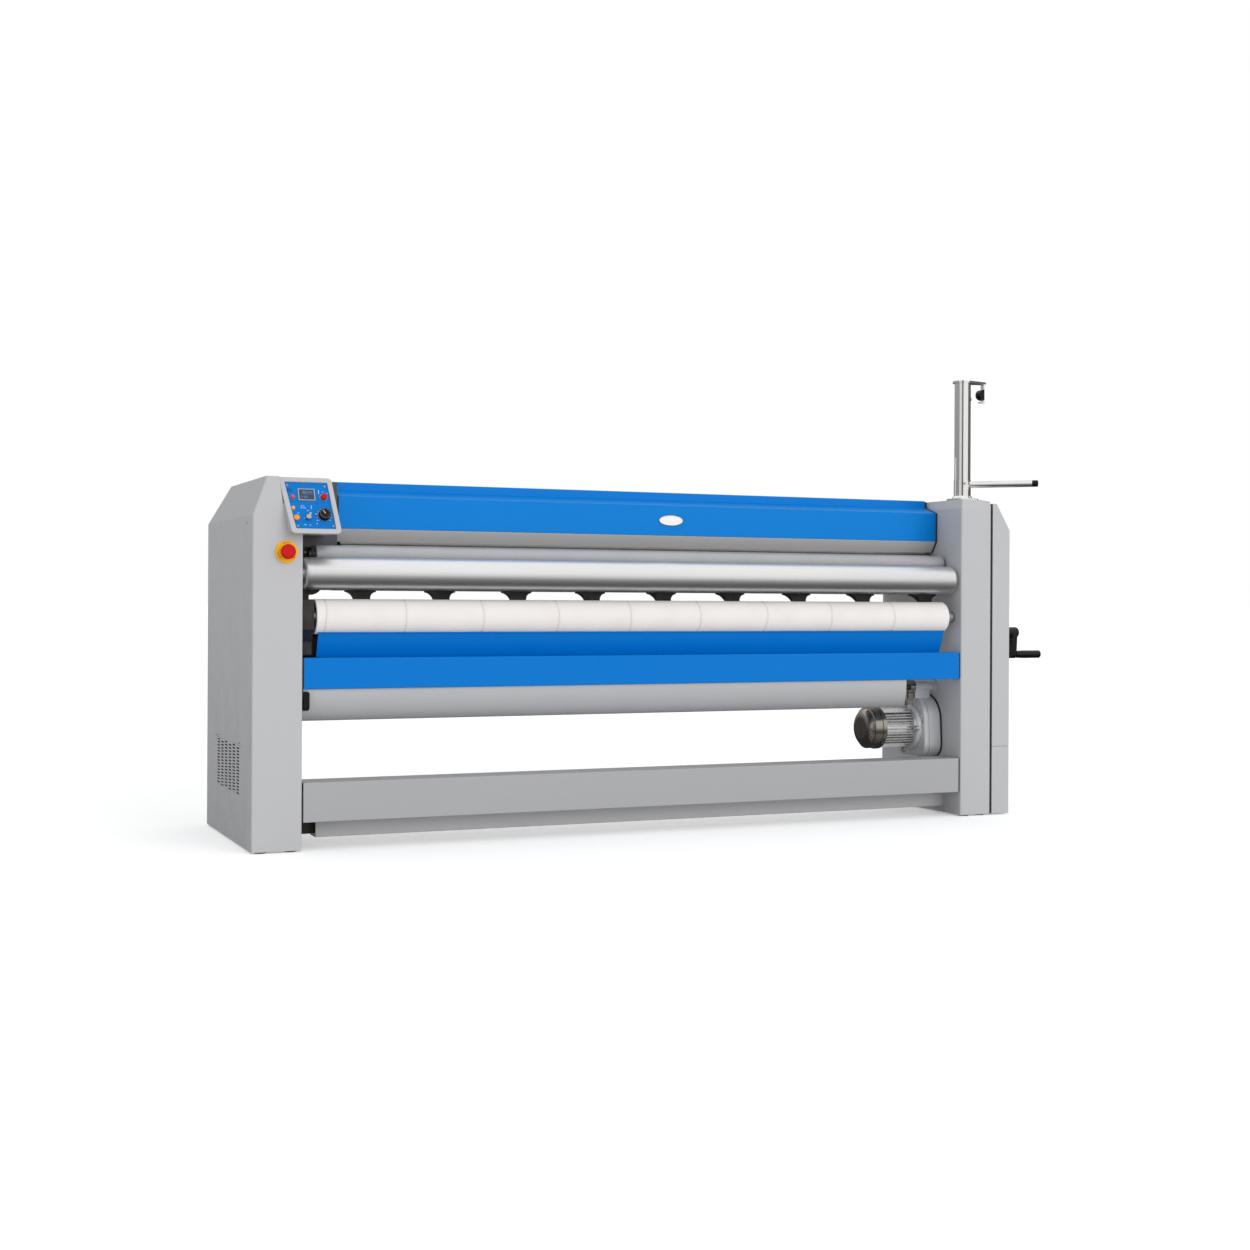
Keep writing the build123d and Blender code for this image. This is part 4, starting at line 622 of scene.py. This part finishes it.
# ---- endless belt round the heated cylinder
def ironing_belt():
    """Thin closed band: round the cylinder outside, over two guide rollers, and back inside."""
    low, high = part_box("ironing_belt")
    middle, half_gap, thickness, open_angle = 155.5 * MM, 22.5 * MM, 3 * MM, math.radians(18)
    axis_y = high.y - middle - half_gap - thickness
    axis_z = (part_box("guide_roller_upper")[0].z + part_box("guide_roller_lower")[1].z) / 2
    first, sweep = open_angle - math.pi, math.tau - 2 * open_angle
    last = first + sweep
    steps, end_steps = 120, 16
    way_round = [first + sweep * i / steps for i in range(steps + 1)]

    def arc(centre, radius, angles):
        y, z = centre
        return [(y + radius * math.cos(angle), z + radius * math.sin(angle)) for angle in angles]

    def turn_back(end, start, radius):
        """Half circle that leads from one arc to the other at the belt's end."""
        centre = (middle * math.cos(end), middle * math.sin(end))
        return arc(centre, radius, [start + math.pi * i / end_steps for i in range(1, end_steps)])

    def path(offset):
        """Closed line at an offset from the belt's inner face."""
        reach = half_gap + offset
        there = arc((0, 0), middle + reach, way_round) + turn_back(last, last, reach)
        back = arc((0, 0), middle - reach, way_round[::-1]) + turn_back(first, first + math.pi, reach)
        return there + back

    inner, outer = path(0.2 * MM), path(thickness)
    mesh = bmesh.new()
    rings = []
    for line, x in ((inner, low.x), (outer, low.x), (outer, high.x), (inner, high.x)):
        rings.append([(x, axis_y + y, axis_z + z) for y, z in line])
    loft(mesh, rings, closed=True)
    belt = piece("belt_sleeve", mesh, "belt_fabric", "frame", smooth_angle=50)
    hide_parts("ironing_belt")


# ---- console
console_tilt = math.radians(25)
console_foot = Vector(spot(0, -58, 1061))
panel_depth = 5 * MM  # of the blue panel's face behind the bezel's front
knob_place = (233, 69)
red_lamp_place = (132.5, 135.5)


def on_console(u, v, depth=panel_depth):
    """Matrix on the console, u and v in millimetres from its lower left, Z out of it."""
    up = Vector((0, math.sin(console_tilt), math.cos(console_tilt)))
    out = Vector((0, -math.cos(console_tilt), math.sin(console_tilt)))
    place = console_foot + Vector((u * MM, 0, 0)) + up * (v * MM) - out * depth
    return frame_at(place, out, up)


def console_hardware():
    """Corner screws and the bright rings of the controls."""
    heads = bmesh.new()
    for u, v in ((118, 179.5), (244, 178), (141, 27.5), (260, 29.5)):
        screw_head(heads, on_console(u, v), 4.2 * MM)
    piece("panel_screws", heads, "screw_steel", "frame")

    bezels = bmesh.new()
    profile = ((1.22, 0), (1.22, 1.2), (1.14, 1.9), (1.04, 1.9), (1.0, 0.6))
    for place, radius in ((red_lamp_place, 7.4), ((130.5, 94), 7.4), ((237, 137), 10.8)):
        matrix = on_console(*place)
        rounds = [circle(matrix, radius * MM * wide, high * MM, 36) for wide, high in profile]
        loft(bezels, rounds, caps=False)
    ring(bezels, on_console(*knob_place), 21.6 * MM, 1.1 * MM, 0.6 * MM, segments=64, sides=10)
    piece("control_rings", bezels, "screw_steel", "frame")


def console_marks():
    """White ticks and signs, and the dark signs, printed on the blue panel."""
    marks = bmesh.new()
    knob = on_console(*knob_place)
    for tick in range(11):
        size, reach = (5.2, 26.5) if tick % 5 == 0 else (3.4, 25.6)
        slab(marks, turned(knob, 225 - 27 * tick, reach * MM), size * MM, 1.1 * MM, stand)
    # a drop in a ring, a bar with a dot, and short strokes beside the controls
    ring(marks, on_console(163, 100), 5 * MM, 0.6 * MM, stand, segments=28)
    for u, v, wide, high, lean in (
        (170.5, 94.5, 5.5, 1.3, -50),
        (156.5, 94.5, 3.5, 1.3, 0),
        (192, 99.5, 1.8, 9.5, 0),
        (192, 92.2, 1.8, 1.8, 0),
        (222, 157, 1.6, 15, 0),
        (180, 86, 7, 1.3, 0),
        (205, 74, 3, 3, 45),
        (208, 50, 3, 3, 0),
        (166, 58, 5, 1.3, 0),
        (236, 158, 6, 1.3, 0),
        (250, 153, 5, 1.3, -35),
        (146, 76, 7, 1.3, 0),
        (166, 33, 9, 1.3, 0),
        (182, 32, 6, 1.3, 0),
        (205, 38, 6, 1.3, -30),
    ):
        slab(marks, turned(on_console(u, v), lean), wide * MM, high * MM, stand)
    piece("panel_marks", marks, "print_white", "frame")

    dark = bmesh.new()
    lamp_sign = on_console(124, 159.5)
    for step in range(9):
        slab(dark, turned(lamp_sign, 210 - 30 * step, 7 * MM), 2.4 * MM, 3.9 * MM, stand)
    for matrix, wide, high in (
        (lamp_sign, 5, 5),
        (on_console(124, 118), 8, 2),
        (on_console(212, 113), 8, 2.4),
    ):
        slab(dark, turned(matrix, 0), wide * MM, high * MM, stand)
    piece("panel_symbols", dark, "print_dark", "frame")


def console_display():
    """Dark glass of the display with two rows of digits."""
    glass = bmesh.new()
    window, pane = on_console(180, 145, depth=3.4 * MM), 0.6 * MM
    slab(glass, window, 49.6 * MM, 37.6 * MM, pane)
    piece("display_glass", glass, "lcd", "frame")

    digits = bmesh.new()
    face = window @ Matrix.Translation((0, 0, pane))
    for text, start, level, size in (("180", -17, 8, 10), ("25", 8, 8, 10), ("0160", -17, -8, 7)):
        number(digits, face, text, start * MM, level * MM, size * MM)
    piece("display_digits", digits, "lcd_marks", "frame")


def knob_and_lamp():
    """Pointer on the speed knob's face, and the red lamp's lens."""
    pointer = bmesh.new()
    knob_top = on_console(*knob_place, depth=panel_depth - 16.7 * MM)
    slab(pointer, turned(knob_top, 120, 6 * MM, lift=0), 15 * MM, 3.2 * MM, 0.5 * MM)
    ring(pointer, knob_top, 16.5 * MM, 0.4 * MM)
    piece("knob_pointer", pointer, "screw_steel", "speed_knob")

    cap = bmesh.new()
    lamp = on_console(*red_lamp_place)
    rounds = ((6.3, 0.3), (6.3, 4.2), (5.6, 5.8), (3.9, 6.9), (1.6, 7.3))
    loft(cap, [circle(lamp, wide * MM, high * MM, 32) for wide, high in rounds])
    piece("red_lamp_lens", cap, "lamp_red", "frame")


SEGMENTS = {
    "0": "abcdef",
    "1": "bc",
    "2": "abged",
    "5": "afgcd",
    "6": "afgedc",
    "8": "abcdefg",
}


def number(mesh, matrix, text, start, level, size):
    """Seven-segment digits on matrix's XY plane."""
    wide, stroke, pitch, bar_share = size * 0.5, size * 0.13, size * 0.82, 0.86
    bars = {
        "a": (0, size / 2, True),
        "b": (wide / 2, size / 4, False),
        "c": (wide / 2, -size / 4, False),
        "d": (0, -size / 2, True),
        "e": (-wide / 2, -size / 4, False),
        "f": (-wide / 2, size / 4, False),
        "g": (0, 0, True),
    }
    for index, sign in enumerate(text):
        middle = start + index * pitch
        for segment in SEGMENTS[sign]:
            x, y, flat = bars[segment]
            long_side = (wide if flat else size / 2) * bar_share
            size_x, size_y = (long_side, stroke) if flat else (stroke, long_side)
            slab(mesh, matrix, size_x, size_y, stand, middle=(middle + x, level + y))


def stop_marks():
    """Turning arrows round the emergency stop's yellow disc."""
    low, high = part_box("e_stop_disc")
    middle = centre_of(low, high)
    face = frame_at((middle.x, low.y, middle.z), FRONT)
    reach = (high.z - low.z) / 2 * 0.82
    marks = bmesh.new()
    for arrow in (95, 200, 305):
        for step in range(-3, 4):
            wide = 1.1 if step < 3 else 4.5
            slab(marks, turned(face, arrow + 6 * step, reach), wide * MM, 2.6 * MM, stand)
    piece("stop_marks", marks, "print_dark", "frame")


def console_case():
    """The console's housing, its outer corners rounded like the bezel's."""
    mesh = bmesh.new()
    mesh.from_mesh(nodes["console_housing"].data)
    bmesh.ops.remove_doubles(mesh, verts=mesh.verts, dist=0.01 * MM)
    bmesh.ops.dissolve_limit(mesh, angle_limit=math.radians(1), verts=mesh.verts, edges=mesh.edges)
    corners = [spot(x, 0, z) for x, z in ((269, 1250), (286, 1061), (119, 1061))]
    chosen = []
    for edge in mesh.edges:
        ends = [vert.co for vert in edge.verts]
        middle = centre_of(*ends)
        runs_back = abs((ends[0] - ends[1]).normalized().y) > 0.999 and edge.calc_length() > 20 * MM
        if runs_back and any(math.hypot(middle.x - x, middle.z - z) < 1 * MM for x, _, z in corners):
            chosen.append(edge)
    bmesh.ops.bevel(mesh, geom=chosen, offset=14 * MM, segments=6, profile=0.5, affect="EDGES")
    case = piece("console_case", mesh, "console_grey", "frame", smooth_angle=30)
    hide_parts("console_housing")


# ---- badge rim, fasteners, linings
def badge_rim():
    low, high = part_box("badge_plate")
    middle = centre_of(low, high)
    matrix = frame_at((middle.x, low.y + 0.6 * MM, middle.z), FRONT)
    half_wide, half_high = (high.x - low.x) / 2, (high.z - low.z) / 2
    line = []
    for i in range(72):
        turn = math.tau * i / 72
        place = Vector((half_wide * math.cos(turn) * 0.985, half_high * math.sin(turn) * 0.97, 0))
        out = Vector((math.cos(turn) / half_wide, math.sin(turn) / half_high, 0)).normalized()
        line.append((place, out))
    rim = bmesh.new()
    tube_loop(rim, matrix, line, tube=1.3 * MM, sides=8)
    piece("badge_rim", rim, "screw_steel", "frame")


def fasteners():
    """Screws of the covers and fingers, each seated on its face."""
    heads = bmesh.new()
    for finger in range(9):
        for side in (-30, 30):
            place = spot(402 + 287 * finger + side, 126, 893)
            screw_head(heads, frame_at(place, FRONT), 5.5 * MM)
    piece("finger_screws", heads, "black_steel", "frame")

    covers = bmesh.new()
    low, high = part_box("rear_cover")
    columns, border = 9, 30 * MM
    pitch = (high.x - low.x - 2 * border) / (columns - 1)
    across = [low.x + border + pitch * column for column in range(columns)]
    screw_rows(covers, BACK, 5 * MM, across, [high.y], (low.z + 18 * MM, high.z - 22 * MM))

    low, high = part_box("left_back_panel")
    across = (low.x + 14 * MM, high.x - 14 * MM)
    levels = (low.z + 30 * MM, 460 * MM, 780 * MM, 1080 * MM)
    screw_rows(covers, BACK, 4.5 * MM, across, [high.y], levels)

    low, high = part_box("right_cover_upper")
    depths = (low.y + 16 * MM, high.y - 16 * MM)
    levels = (low.z + 24 * MM, (low.z + 1130 * MM) / 2, 1100 * MM)
    screw_rows(covers, RIGHT, 4.5 * MM, [high.x - 8 * MM], depths, levels)

    low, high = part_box("right_cover_lower")
    depths = (low.y + 16 * MM, high.y - 16 * MM)
    screw_rows(covers, RIGHT, 4.5 * MM, [high.x], depths, [high.z - 24 * MM])
    piece("cover_screws", covers, "screw_steel", "frame")


def gap_shade_linings():
    """Dark rubber linings in the narrow gaps at the ends of bar and beam and round the chain cover; their
    black is painted shade in the gaps.
    """
    linings = bmesh.new()
    left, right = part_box("left_tower_shell")[1].x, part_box("right_tower_shell")[0].x
    play = 4 * MM  # by which a lining is smaller than the end that it runs round
    for node in ("front_bar", "bottom_beam"):
        low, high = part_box(node)
        middle = centre_of(low, high)
        for x, way in ((left, RIGHT), (right, LEFT)):
            place = frame_at((x, middle.y, middle.z), way)
            collar(linings, place, high.y - low.y - play, high.z - low.z - play, 9.8 * MM, 5.8 * MM)
    piece("gap_shade_linings", linings, "rubber", "frame", smooth_angle=20)

    # dark seal in the gap between tower and cover: its black is painted shade
    seal = bmesh.new()
    low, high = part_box("right_tower_shell")
    foot, top = 9 * MM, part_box("right_cover_upper")[1].z - 3 * MM
    place = frame_at((high.x, (low.y + high.y) / 2, (foot + top) / 2), RIGHT)
    collar(seal, place, high.y - low.y - 5 * MM, top - foot, 5 * MM, 7.9 * MM)
    piece("cover_shade_seal", seal, "rubber", "frame", smooth_angle=20)


def vent_screen():
    """Dark dust screen behind the left tower's vent, and the screws of that side."""
    low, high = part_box("left_vent_grille")
    middle = centre_of(low, high)
    margin, screen_depth = 12 * MM, 3 * MM
    screen = bmesh.new()
    place = frame_at((high.x + screen_depth, middle.y, middle.z), LEFT)
    slab(screen, place, high.y - low.y + margin, high.z - low.z + margin, 2.8 * MM)
    piece("vent_screen", screen, "screen_mesh", "frame")

    heads = bmesh.new()
    above_vent = (low.y + 8 * MM, high.y - 8 * MM)
    screw_rows(heads, LEFT, 3.6 * MM, [low.x], above_vent, [high.z + 12 * MM])
    along_top = (y_front + 96 * MM, y_front + 560 * MM)
    screw_rows(heads, LEFT, 3.6 * MM, [low.x], along_top, [1098 * MM])
    piece("side_screws", heads, "screw_steel", "frame")


# ---- sheets and fittings; their outlines are in millimetres, as spot() counts them
beside_tower = 168.2  # X just clear of the left tower's inner face


def strip_outline(points, thickness):
    """Closed outline of a sheet whose middle line runs through (y, z) points."""
    sides = ([], [])
    last = len(points) - 1
    for i, point in enumerate(points):
        run_in = (point - points[i - 1] if i else points[1] - point).normalized()
        run_out = (points[i + 1] - point if i < last else run_in).normalized()
        along = (run_in + run_out).normalized()
        across = Vector((-along.y, along.x))
        spread = thickness / 2 / across.dot(Vector((-run_in.y, run_in.x)))
        sides[0].append(point + across * spread)
        sides[1].append(point - across * spread)
    return sides[0] + sides[1][::-1]


def prism(mesh, outline, start, end):
    """Skin between two X ends of a (y, z) outline; an end may depend on y."""
    rings = []
    for x in (start, end):
        x_at = x if callable(x) else lambda y, x=x: x
        rings.append([spot(x_at(p.x), p.x, p.y) for p in outline])
    loft(mesh, rings)


def arc_through(first, middle, last, count):
    """Points of the circular arc through three (y, z) points."""
    chord, other = last - first, middle - first
    cross = 2 * (chord.x * other.y - chord.y * other.x)
    centre = first + Vector(
        (
            (other.y * chord.length_squared - chord.y * other.length_squared) / cross,
            (chord.x * other.length_squared - other.x * chord.length_squared) / cross,
        )
    )
    reach = (first - centre).length
    start = math.atan2(first.y - centre.y, first.x - centre.x)
    turn = (math.atan2(last.y - centre.y, last.x - centre.x) - start + math.pi) % math.tau - math.pi
    angles = [start + turn * i / count for i in range(count + 1)]
    return [centre + reach * Vector((math.cos(angle), math.sin(angle))) for angle in angles]


def apron_sheet():
    """Curved sheet under the bar; its right end is cut at a slant beside the gearmotor."""
    top, bulge, bottom = Vector((15.2, 539.8)), Vector((49, 470.8)), Vector((134.6, 428.3))
    left, right_front, right_back = 174, 2540, 2603
    sheet, web, overlap = 2.5, 1.5, 0.2

    def right_end(y):
        share = min(max((y - top.x) / (bottom.x - top.x), 0.0), 1.0)
        return right_front + (right_back - right_front) * share

    curve = arc_through(top, bulge, bottom, 28)
    mesh = bmesh.new()
    line = [Vector((50, top.y)), *curve, bottom + Vector((14, 4))]
    prism(mesh, strip_outline(line, sheet), left, right_end)
    gusset = [*curve, Vector((95, 530))]
    prism(mesh, gusset, left + overlap, left + web)
    prism(mesh, gusset, lambda y: right_end(y) - web, lambda y: right_end(y) - overlap)
    pad = [Vector(corner) for corner in ((70, 450), (90, 450), (90, 500), (70, 500))]
    prism(mesh, pad, beside_tower, left + overlap)
    apron = piece("apron_sheet", mesh, "apron_paint", "frame", smooth_angle=25)
    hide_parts("apron")


def lower_fittings():
    """Black steel bracket at the sub-beam's left end, its black partly painted shade, and the plate beside
    the tray board, in blue darkened to painted shade.
    """
    for name, look, line, thickness, end in (
        # black: partly the bracket's own black steel, partly painted shade
        ("sub_beam_bracket", "black_steel", ((148, 40), (148, 94), (188, 94), (188, 40)), 4, 254),
        # dark blue plate: painted shade, the blue paint as it looks in deep shadow
        ("tray_end_plate", "painted_shade_blue", ((151.3, 600), (151.3, 738), (139, 738)), 2.4, 268),
    ):
        mesh = bmesh.new()
        outline = strip_outline([Vector(point) for point in line], thickness)
        prism(mesh, outline, beside_tower, end)
        piece(name, mesh, look, "frame", smooth_angle=25)


def notch_cheek():
    """Sheet that closes the left tower beside the console, behind the tower's slanted front edge."""
    sheet, front, back = 1.6, 1.6, 76
    rings = []
    for z, edge in ((1160, 100.3), (1247.4, 86.4)):
        corners = ((edge - sheet, front), (edge, front), (edge, back), (edge - sheet, back))
        rings.append([spot(x, y, z) for x, y in corners])
    mesh = bmesh.new()
    loft(mesh, rings)
    piece("notch_cheek", mesh, "grey_paint", "frame", smooth_angle=25)


def roller_end_fittings():
    """Bolts at the rollers' left ends."""
    bolts = bmesh.new()
    low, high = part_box("press_roller_bracket")
    across = (low.x + 7 * MM, high.x - 7 * MM)
    screw_rows(bolts, FRONT, 5 * MM, across, [high.y - 5 * MM], [1003 * MM])
    shaft_end = (low.x + 16 * MM, y_front + 126 * MM, 998 * MM)
    screw_head(bolts, frame_at(shaft_end, LEFT), 9 * MM)
    for x in (186, 236):
        screw_head(bolts, frame_at(spot(x, 126, 893), FRONT), 5 * MM)
    piece("roller_bolts", bolts, "screw_steel", "frame")


def mast_fittings():
    """The flange's screws, and the bolts of the tube and of the plate on top."""
    low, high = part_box("mast_base")
    middle = centre_of(low, high)
    middle.z = 0
    tube, bolt_circle = 32 * MM, 50 * MM  # radii
    screws = bmesh.new()
    seat = Vector((0, 0, low.z + 6 * MM))
    for quarter in range(4):
        place = middle + heading(45 + 90 * quarter) * bolt_circle + seat
        screw_head(screws, frame_at(place, UP, BACK), 5.5 * MM)
    piece("flange_screws", screws, "screw_steel", "frame")

    bolts = bmesh.new()
    sunk = 0.6 * MM
    for angle, height, size, sleeve in ((-20, 1655, 7, 0), (-110, 1316, 5, 1.5), (-75, 1316, 5, 1.5)):
        way = heading(angle)
        place = middle + way * (tube + sleeve * MM - sunk) + Vector((0, 0, height * MM))
        screw_head(bolts, frame_at(place, way), size * MM)
    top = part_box("mast_post")[1].z - 1.5 * MM
    for x in (0.0, 84 * MM):
        place = (middle.x + x, middle.y, top)
        screw_head(bolts, frame_at(place, UP, BACK), 2.6 * MM)
    piece("mast_bolts", bolts, "screw_steel", "mast")


def motor_fittings():
    """Bolts of the gearbox cover, the cowl's screws and the dark gasket at the tower's wall, whose black
    gives a painted shade outline.
    """
    axis_y, cover_x, cowl_x, wall_x = 240, 2702, 2536, 2781.8
    bolts = bmesh.new()
    for y, z in ((-60, 275), (60, 275), (-88, 366), (88, 366), (0, 458)):
        screw_head(bolts, frame_at(spot(cover_x, axis_y + y, z), LEFT), 6 * MM)
    piece("gearbox_bolts", bolts, "screw_steel", "frame")

    screws = bmesh.new()
    cowl_radius = 84.3 * MM
    for angle in (-150, -40, 60):
        way = Vector((0, math.cos(math.radians(angle)), math.sin(math.radians(angle))))
        place = Vector(spot(cowl_x, axis_y, 340)) + way * cowl_radius
        screw_head(screws, frame_at(place, way, RIGHT), 4.5 * MM)
    piece("cowl_screws", screws, "black_steel", "frame")

    # the gearbox's outline is the hull of a large circle over two small ones
    circles = ((axis_y, 366, 105), (axis_y - 60, 275, 50), (axis_y + 60, 275, 50))

    def outline(grow, x):
        points = []
        for step in range(96):
            angle = math.tau * step / 96
            way = Vector((math.cos(angle), math.sin(angle)))
            y, z, radius = max(circles, key=lambda c: Vector(c[:2]).dot(way) + c[2])
            edge = Vector((y, z)) + way * (radius + grow)
            points.append(spot(x, edge.x, edge.y))
        return points

    # dark rubber ring round the gearbox: a painted shade outline where it meets the wall
    near_x, outside, inside = wall_x - 5.8, 3.5, -2
    gasket = bmesh.new()
    steps = ((outside, wall_x), (outside, near_x), (inside, near_x), (inside, wall_x))
    loft(gasket, [outline(grow, x) for grow, x in steps], closed=True)
    piece("gearbox_shade_gasket", gasket, "rubber", "frame")


felt_cover()
ironing_belt()
console_hardware()
console_marks()
console_display()
knob_and_lamp()
stop_marks()
badge_rim()
fasteners()
gap_shade_linings()
vent_screen()
apron_sheet()
lower_fittings()
notch_cheek()
console_case()
roller_end_fittings()
mast_fittings()
motor_fittings()


# ---- floor, light and camera
def seen_directly(tree):
    """One for rays from the camera and for those that metal and glass send on."""
    path = add_node(tree, "ShaderNodeLightPath")
    total = path.outputs["Is Camera Ray"]
    for kind in ("Is Glossy Ray", "Is Transmission Ray"):
        either = add_node(tree, "ShaderNodeMath", {0: total, 1: path.outputs[kind]}, operation="MAXIMUM")
        total = either.outputs[0]
    return total


def plain_world():
    """Even light from all round, and a white backdrop."""
    world = bpy.data.worlds.new("studio")
    bpy.context.scene.world = world
    world.use_nodes = True
    tree = world.node_tree
    tree.nodes.clear()
    lighting = add_node(tree, "ShaderNodeBackground", {"Color": (0.98, 0.99, 1.0, 1.0), "Strength": 0.8})
    backdrop = add_node(tree, "ShaderNodeBackground", {"Color": (1, 1, 1, 1), "Strength": 1.0})
    shaders = {0: seen_directly(tree), 1: lighting.outputs[0], 2: backdrop.outputs[0]}
    mix = add_node(tree, "ShaderNodeMixShader", shaders)
    add_node(tree, "ShaderNodeOutputWorld", {"Surface": mix.outputs[0]})


def stage_object(name, mesh):
    """Floor or card, which isn't part of the ironer, and its empty node tree."""
    made = new_object(name, mesh)
    material = bpy.data.materials.new(name)
    material.use_nodes = True
    material.node_tree.nodes.clear()
    made.data.materials.append(material)
    return made, material.node_tree


def pale_floor():
    """Pale matt floor; the glow on directly seen rays brings it up to the backdrop's white."""
    half_size, pale, glow_level = 400, 0.85, 0.335
    mesh = bmesh.new()
    bmesh.ops.create_grid(mesh, x_segments=1, y_segments=1, size=half_size)
    _, tree = stage_object("floor", mesh)
    diffuse = add_node(tree, "ShaderNodeBsdfDiffuse", {"Color": (pale, pale, pale, 1)})
    level = add_node(tree, "ShaderNodeMath", {0: seen_directly(tree), 1: glow_level}, operation="MULTIPLY")
    glow = add_node(tree, "ShaderNodeEmission", {"Strength": level.outputs[0]})
    both = add_node(tree, "ShaderNodeAddShader", {0: diffuse.outputs[0], 1: glow.outputs[0]})
    add_node(tree, "ShaderNodeOutputMaterial", {"Surface": both.outputs[0]})


def reflection_card(name, mesh, axis, near, far, near_level, far_level):
    """Card that only shiny surfaces see, its brightness running along Y or Z."""
    card, tree = stage_object(name, mesh)
    for ray in ("camera", "diffuse", "shadow", "transmission", "volume_scatter"):
        setattr(card, "visible_" + ray, False)
    place = add_node(tree, "ShaderNodeTexCoord").outputs["Object"]
    along = add_node(tree, "ShaderNodeSeparateXYZ", {0: place}).outputs[axis]
    level = map_range(tree, along, near, far, near_level, far_level)
    glow = add_node(tree, "ShaderNodeEmission", {"Strength": level})
    add_node(tree, "ShaderNodeOutputMaterial", {"Surface": glow.outputs[0]})


def reflection_cards():
    """Dark ground and a ring of pale and dark cards round the studio."""
    reach, height, columns = 9.0, 6.0, 13
    ground = bmesh.new()
    bmesh.ops.create_circle(ground, cap_ends=True, segments=48, radius=reach)
    bmesh.ops.translate(ground, vec=(0, 0, 3 * MM), verts=ground.verts)
    reflection_card("ground_card", ground, "Y", -0.7, -5.5, 0.05, 0.6)
    # azimuths in degrees from the operator's side towards +X, with the brightness at foot and top
    for index, (start, end, foot, top) in enumerate(
        (
            (-74, -38, 0.6, 1.0),
            (-38, -14, 0.04, 0.4),
            (-14, 54, 0.85, 1.1),
            (54, 147, 0.04, 0.3),
            (147, 286, 0.18, 0.56),
        )
    ):
        strip = bmesh.new()
        posts = []
        for step in range(columns):
            angle = math.radians(start + (end - start) * step / (columns - 1) - 90)
            spot = (reach * math.cos(angle), reach * math.sin(angle))
            posts.append([strip.verts.new((*spot, level)) for level in (0.0, height)])
        for left, right in zip(posts, posts[1:]):
            strip.faces.new((left[0], right[0], right[1], left[1]))
        reflection_card(f"wall_card_{index}", strip, "Z", 0.0, height, foot, top)


def daylight(azimuth, elevation, strength, spread):
    """Broad soft light from far away; azimuth is from the operator's side towards +X."""
    light = bpy.data.lights.new("key", "SUN")
    light.energy = strength
    light.angle = math.radians(spread)
    lamp = bpy.data.objects.new("key", light)
    bpy.context.scene.collection.objects.link(lamp)
    side, rise = math.radians(azimuth), math.radians(elevation)
    towards = Vector((math.sin(side) * math.cos(rise), -math.cos(side) * math.cos(rise), math.sin(rise)))
    lamp.rotation_euler = towards.to_track_quat("Z", "Y").to_euler()
    lamp.visible_glossy = False


def photo_camera():
    """Camera at the photograph's place: level, turned towards +X and rolled a little."""
    image_size = 1250
    focal_pixels = 1726.5
    place = (-2.7411, -6.0502, 0.8369)
    turn, roll = 0.41101, 0.00474
    middle_row = 602.3  # row of the photograph that the level line of sight meets
    data = bpy.data.cameras.new("camera")
    data.sensor_width = 36
    data.lens = focal_pixels / image_size * data.sensor_width
    data.shift_y = (middle_row - image_size / 2) / image_size
    camera = bpy.data.objects.new("camera", data)
    bpy.context.scene.collection.objects.link(camera)
    right = Vector((math.cos(turn), -math.sin(turn), 0))
    upward = Vector((0, 0, 1))
    across = right * math.cos(roll) + upward * math.sin(roll)
    above = upward * math.cos(roll) - right * math.sin(roll)
    facing = Matrix((across, above, across.cross(above))).transposed().to_4x4()
    camera.matrix_world = Matrix.Translation(place) @ facing
    bpy.context.scene.camera = camera


plain_world()
pale_floor()
reflection_cards()
daylight(azimuth=22, elevation=18, strength=1.0, spread=40)
photo_camera()

bpy.context.scene.view_settings.view_transform = "Standard"
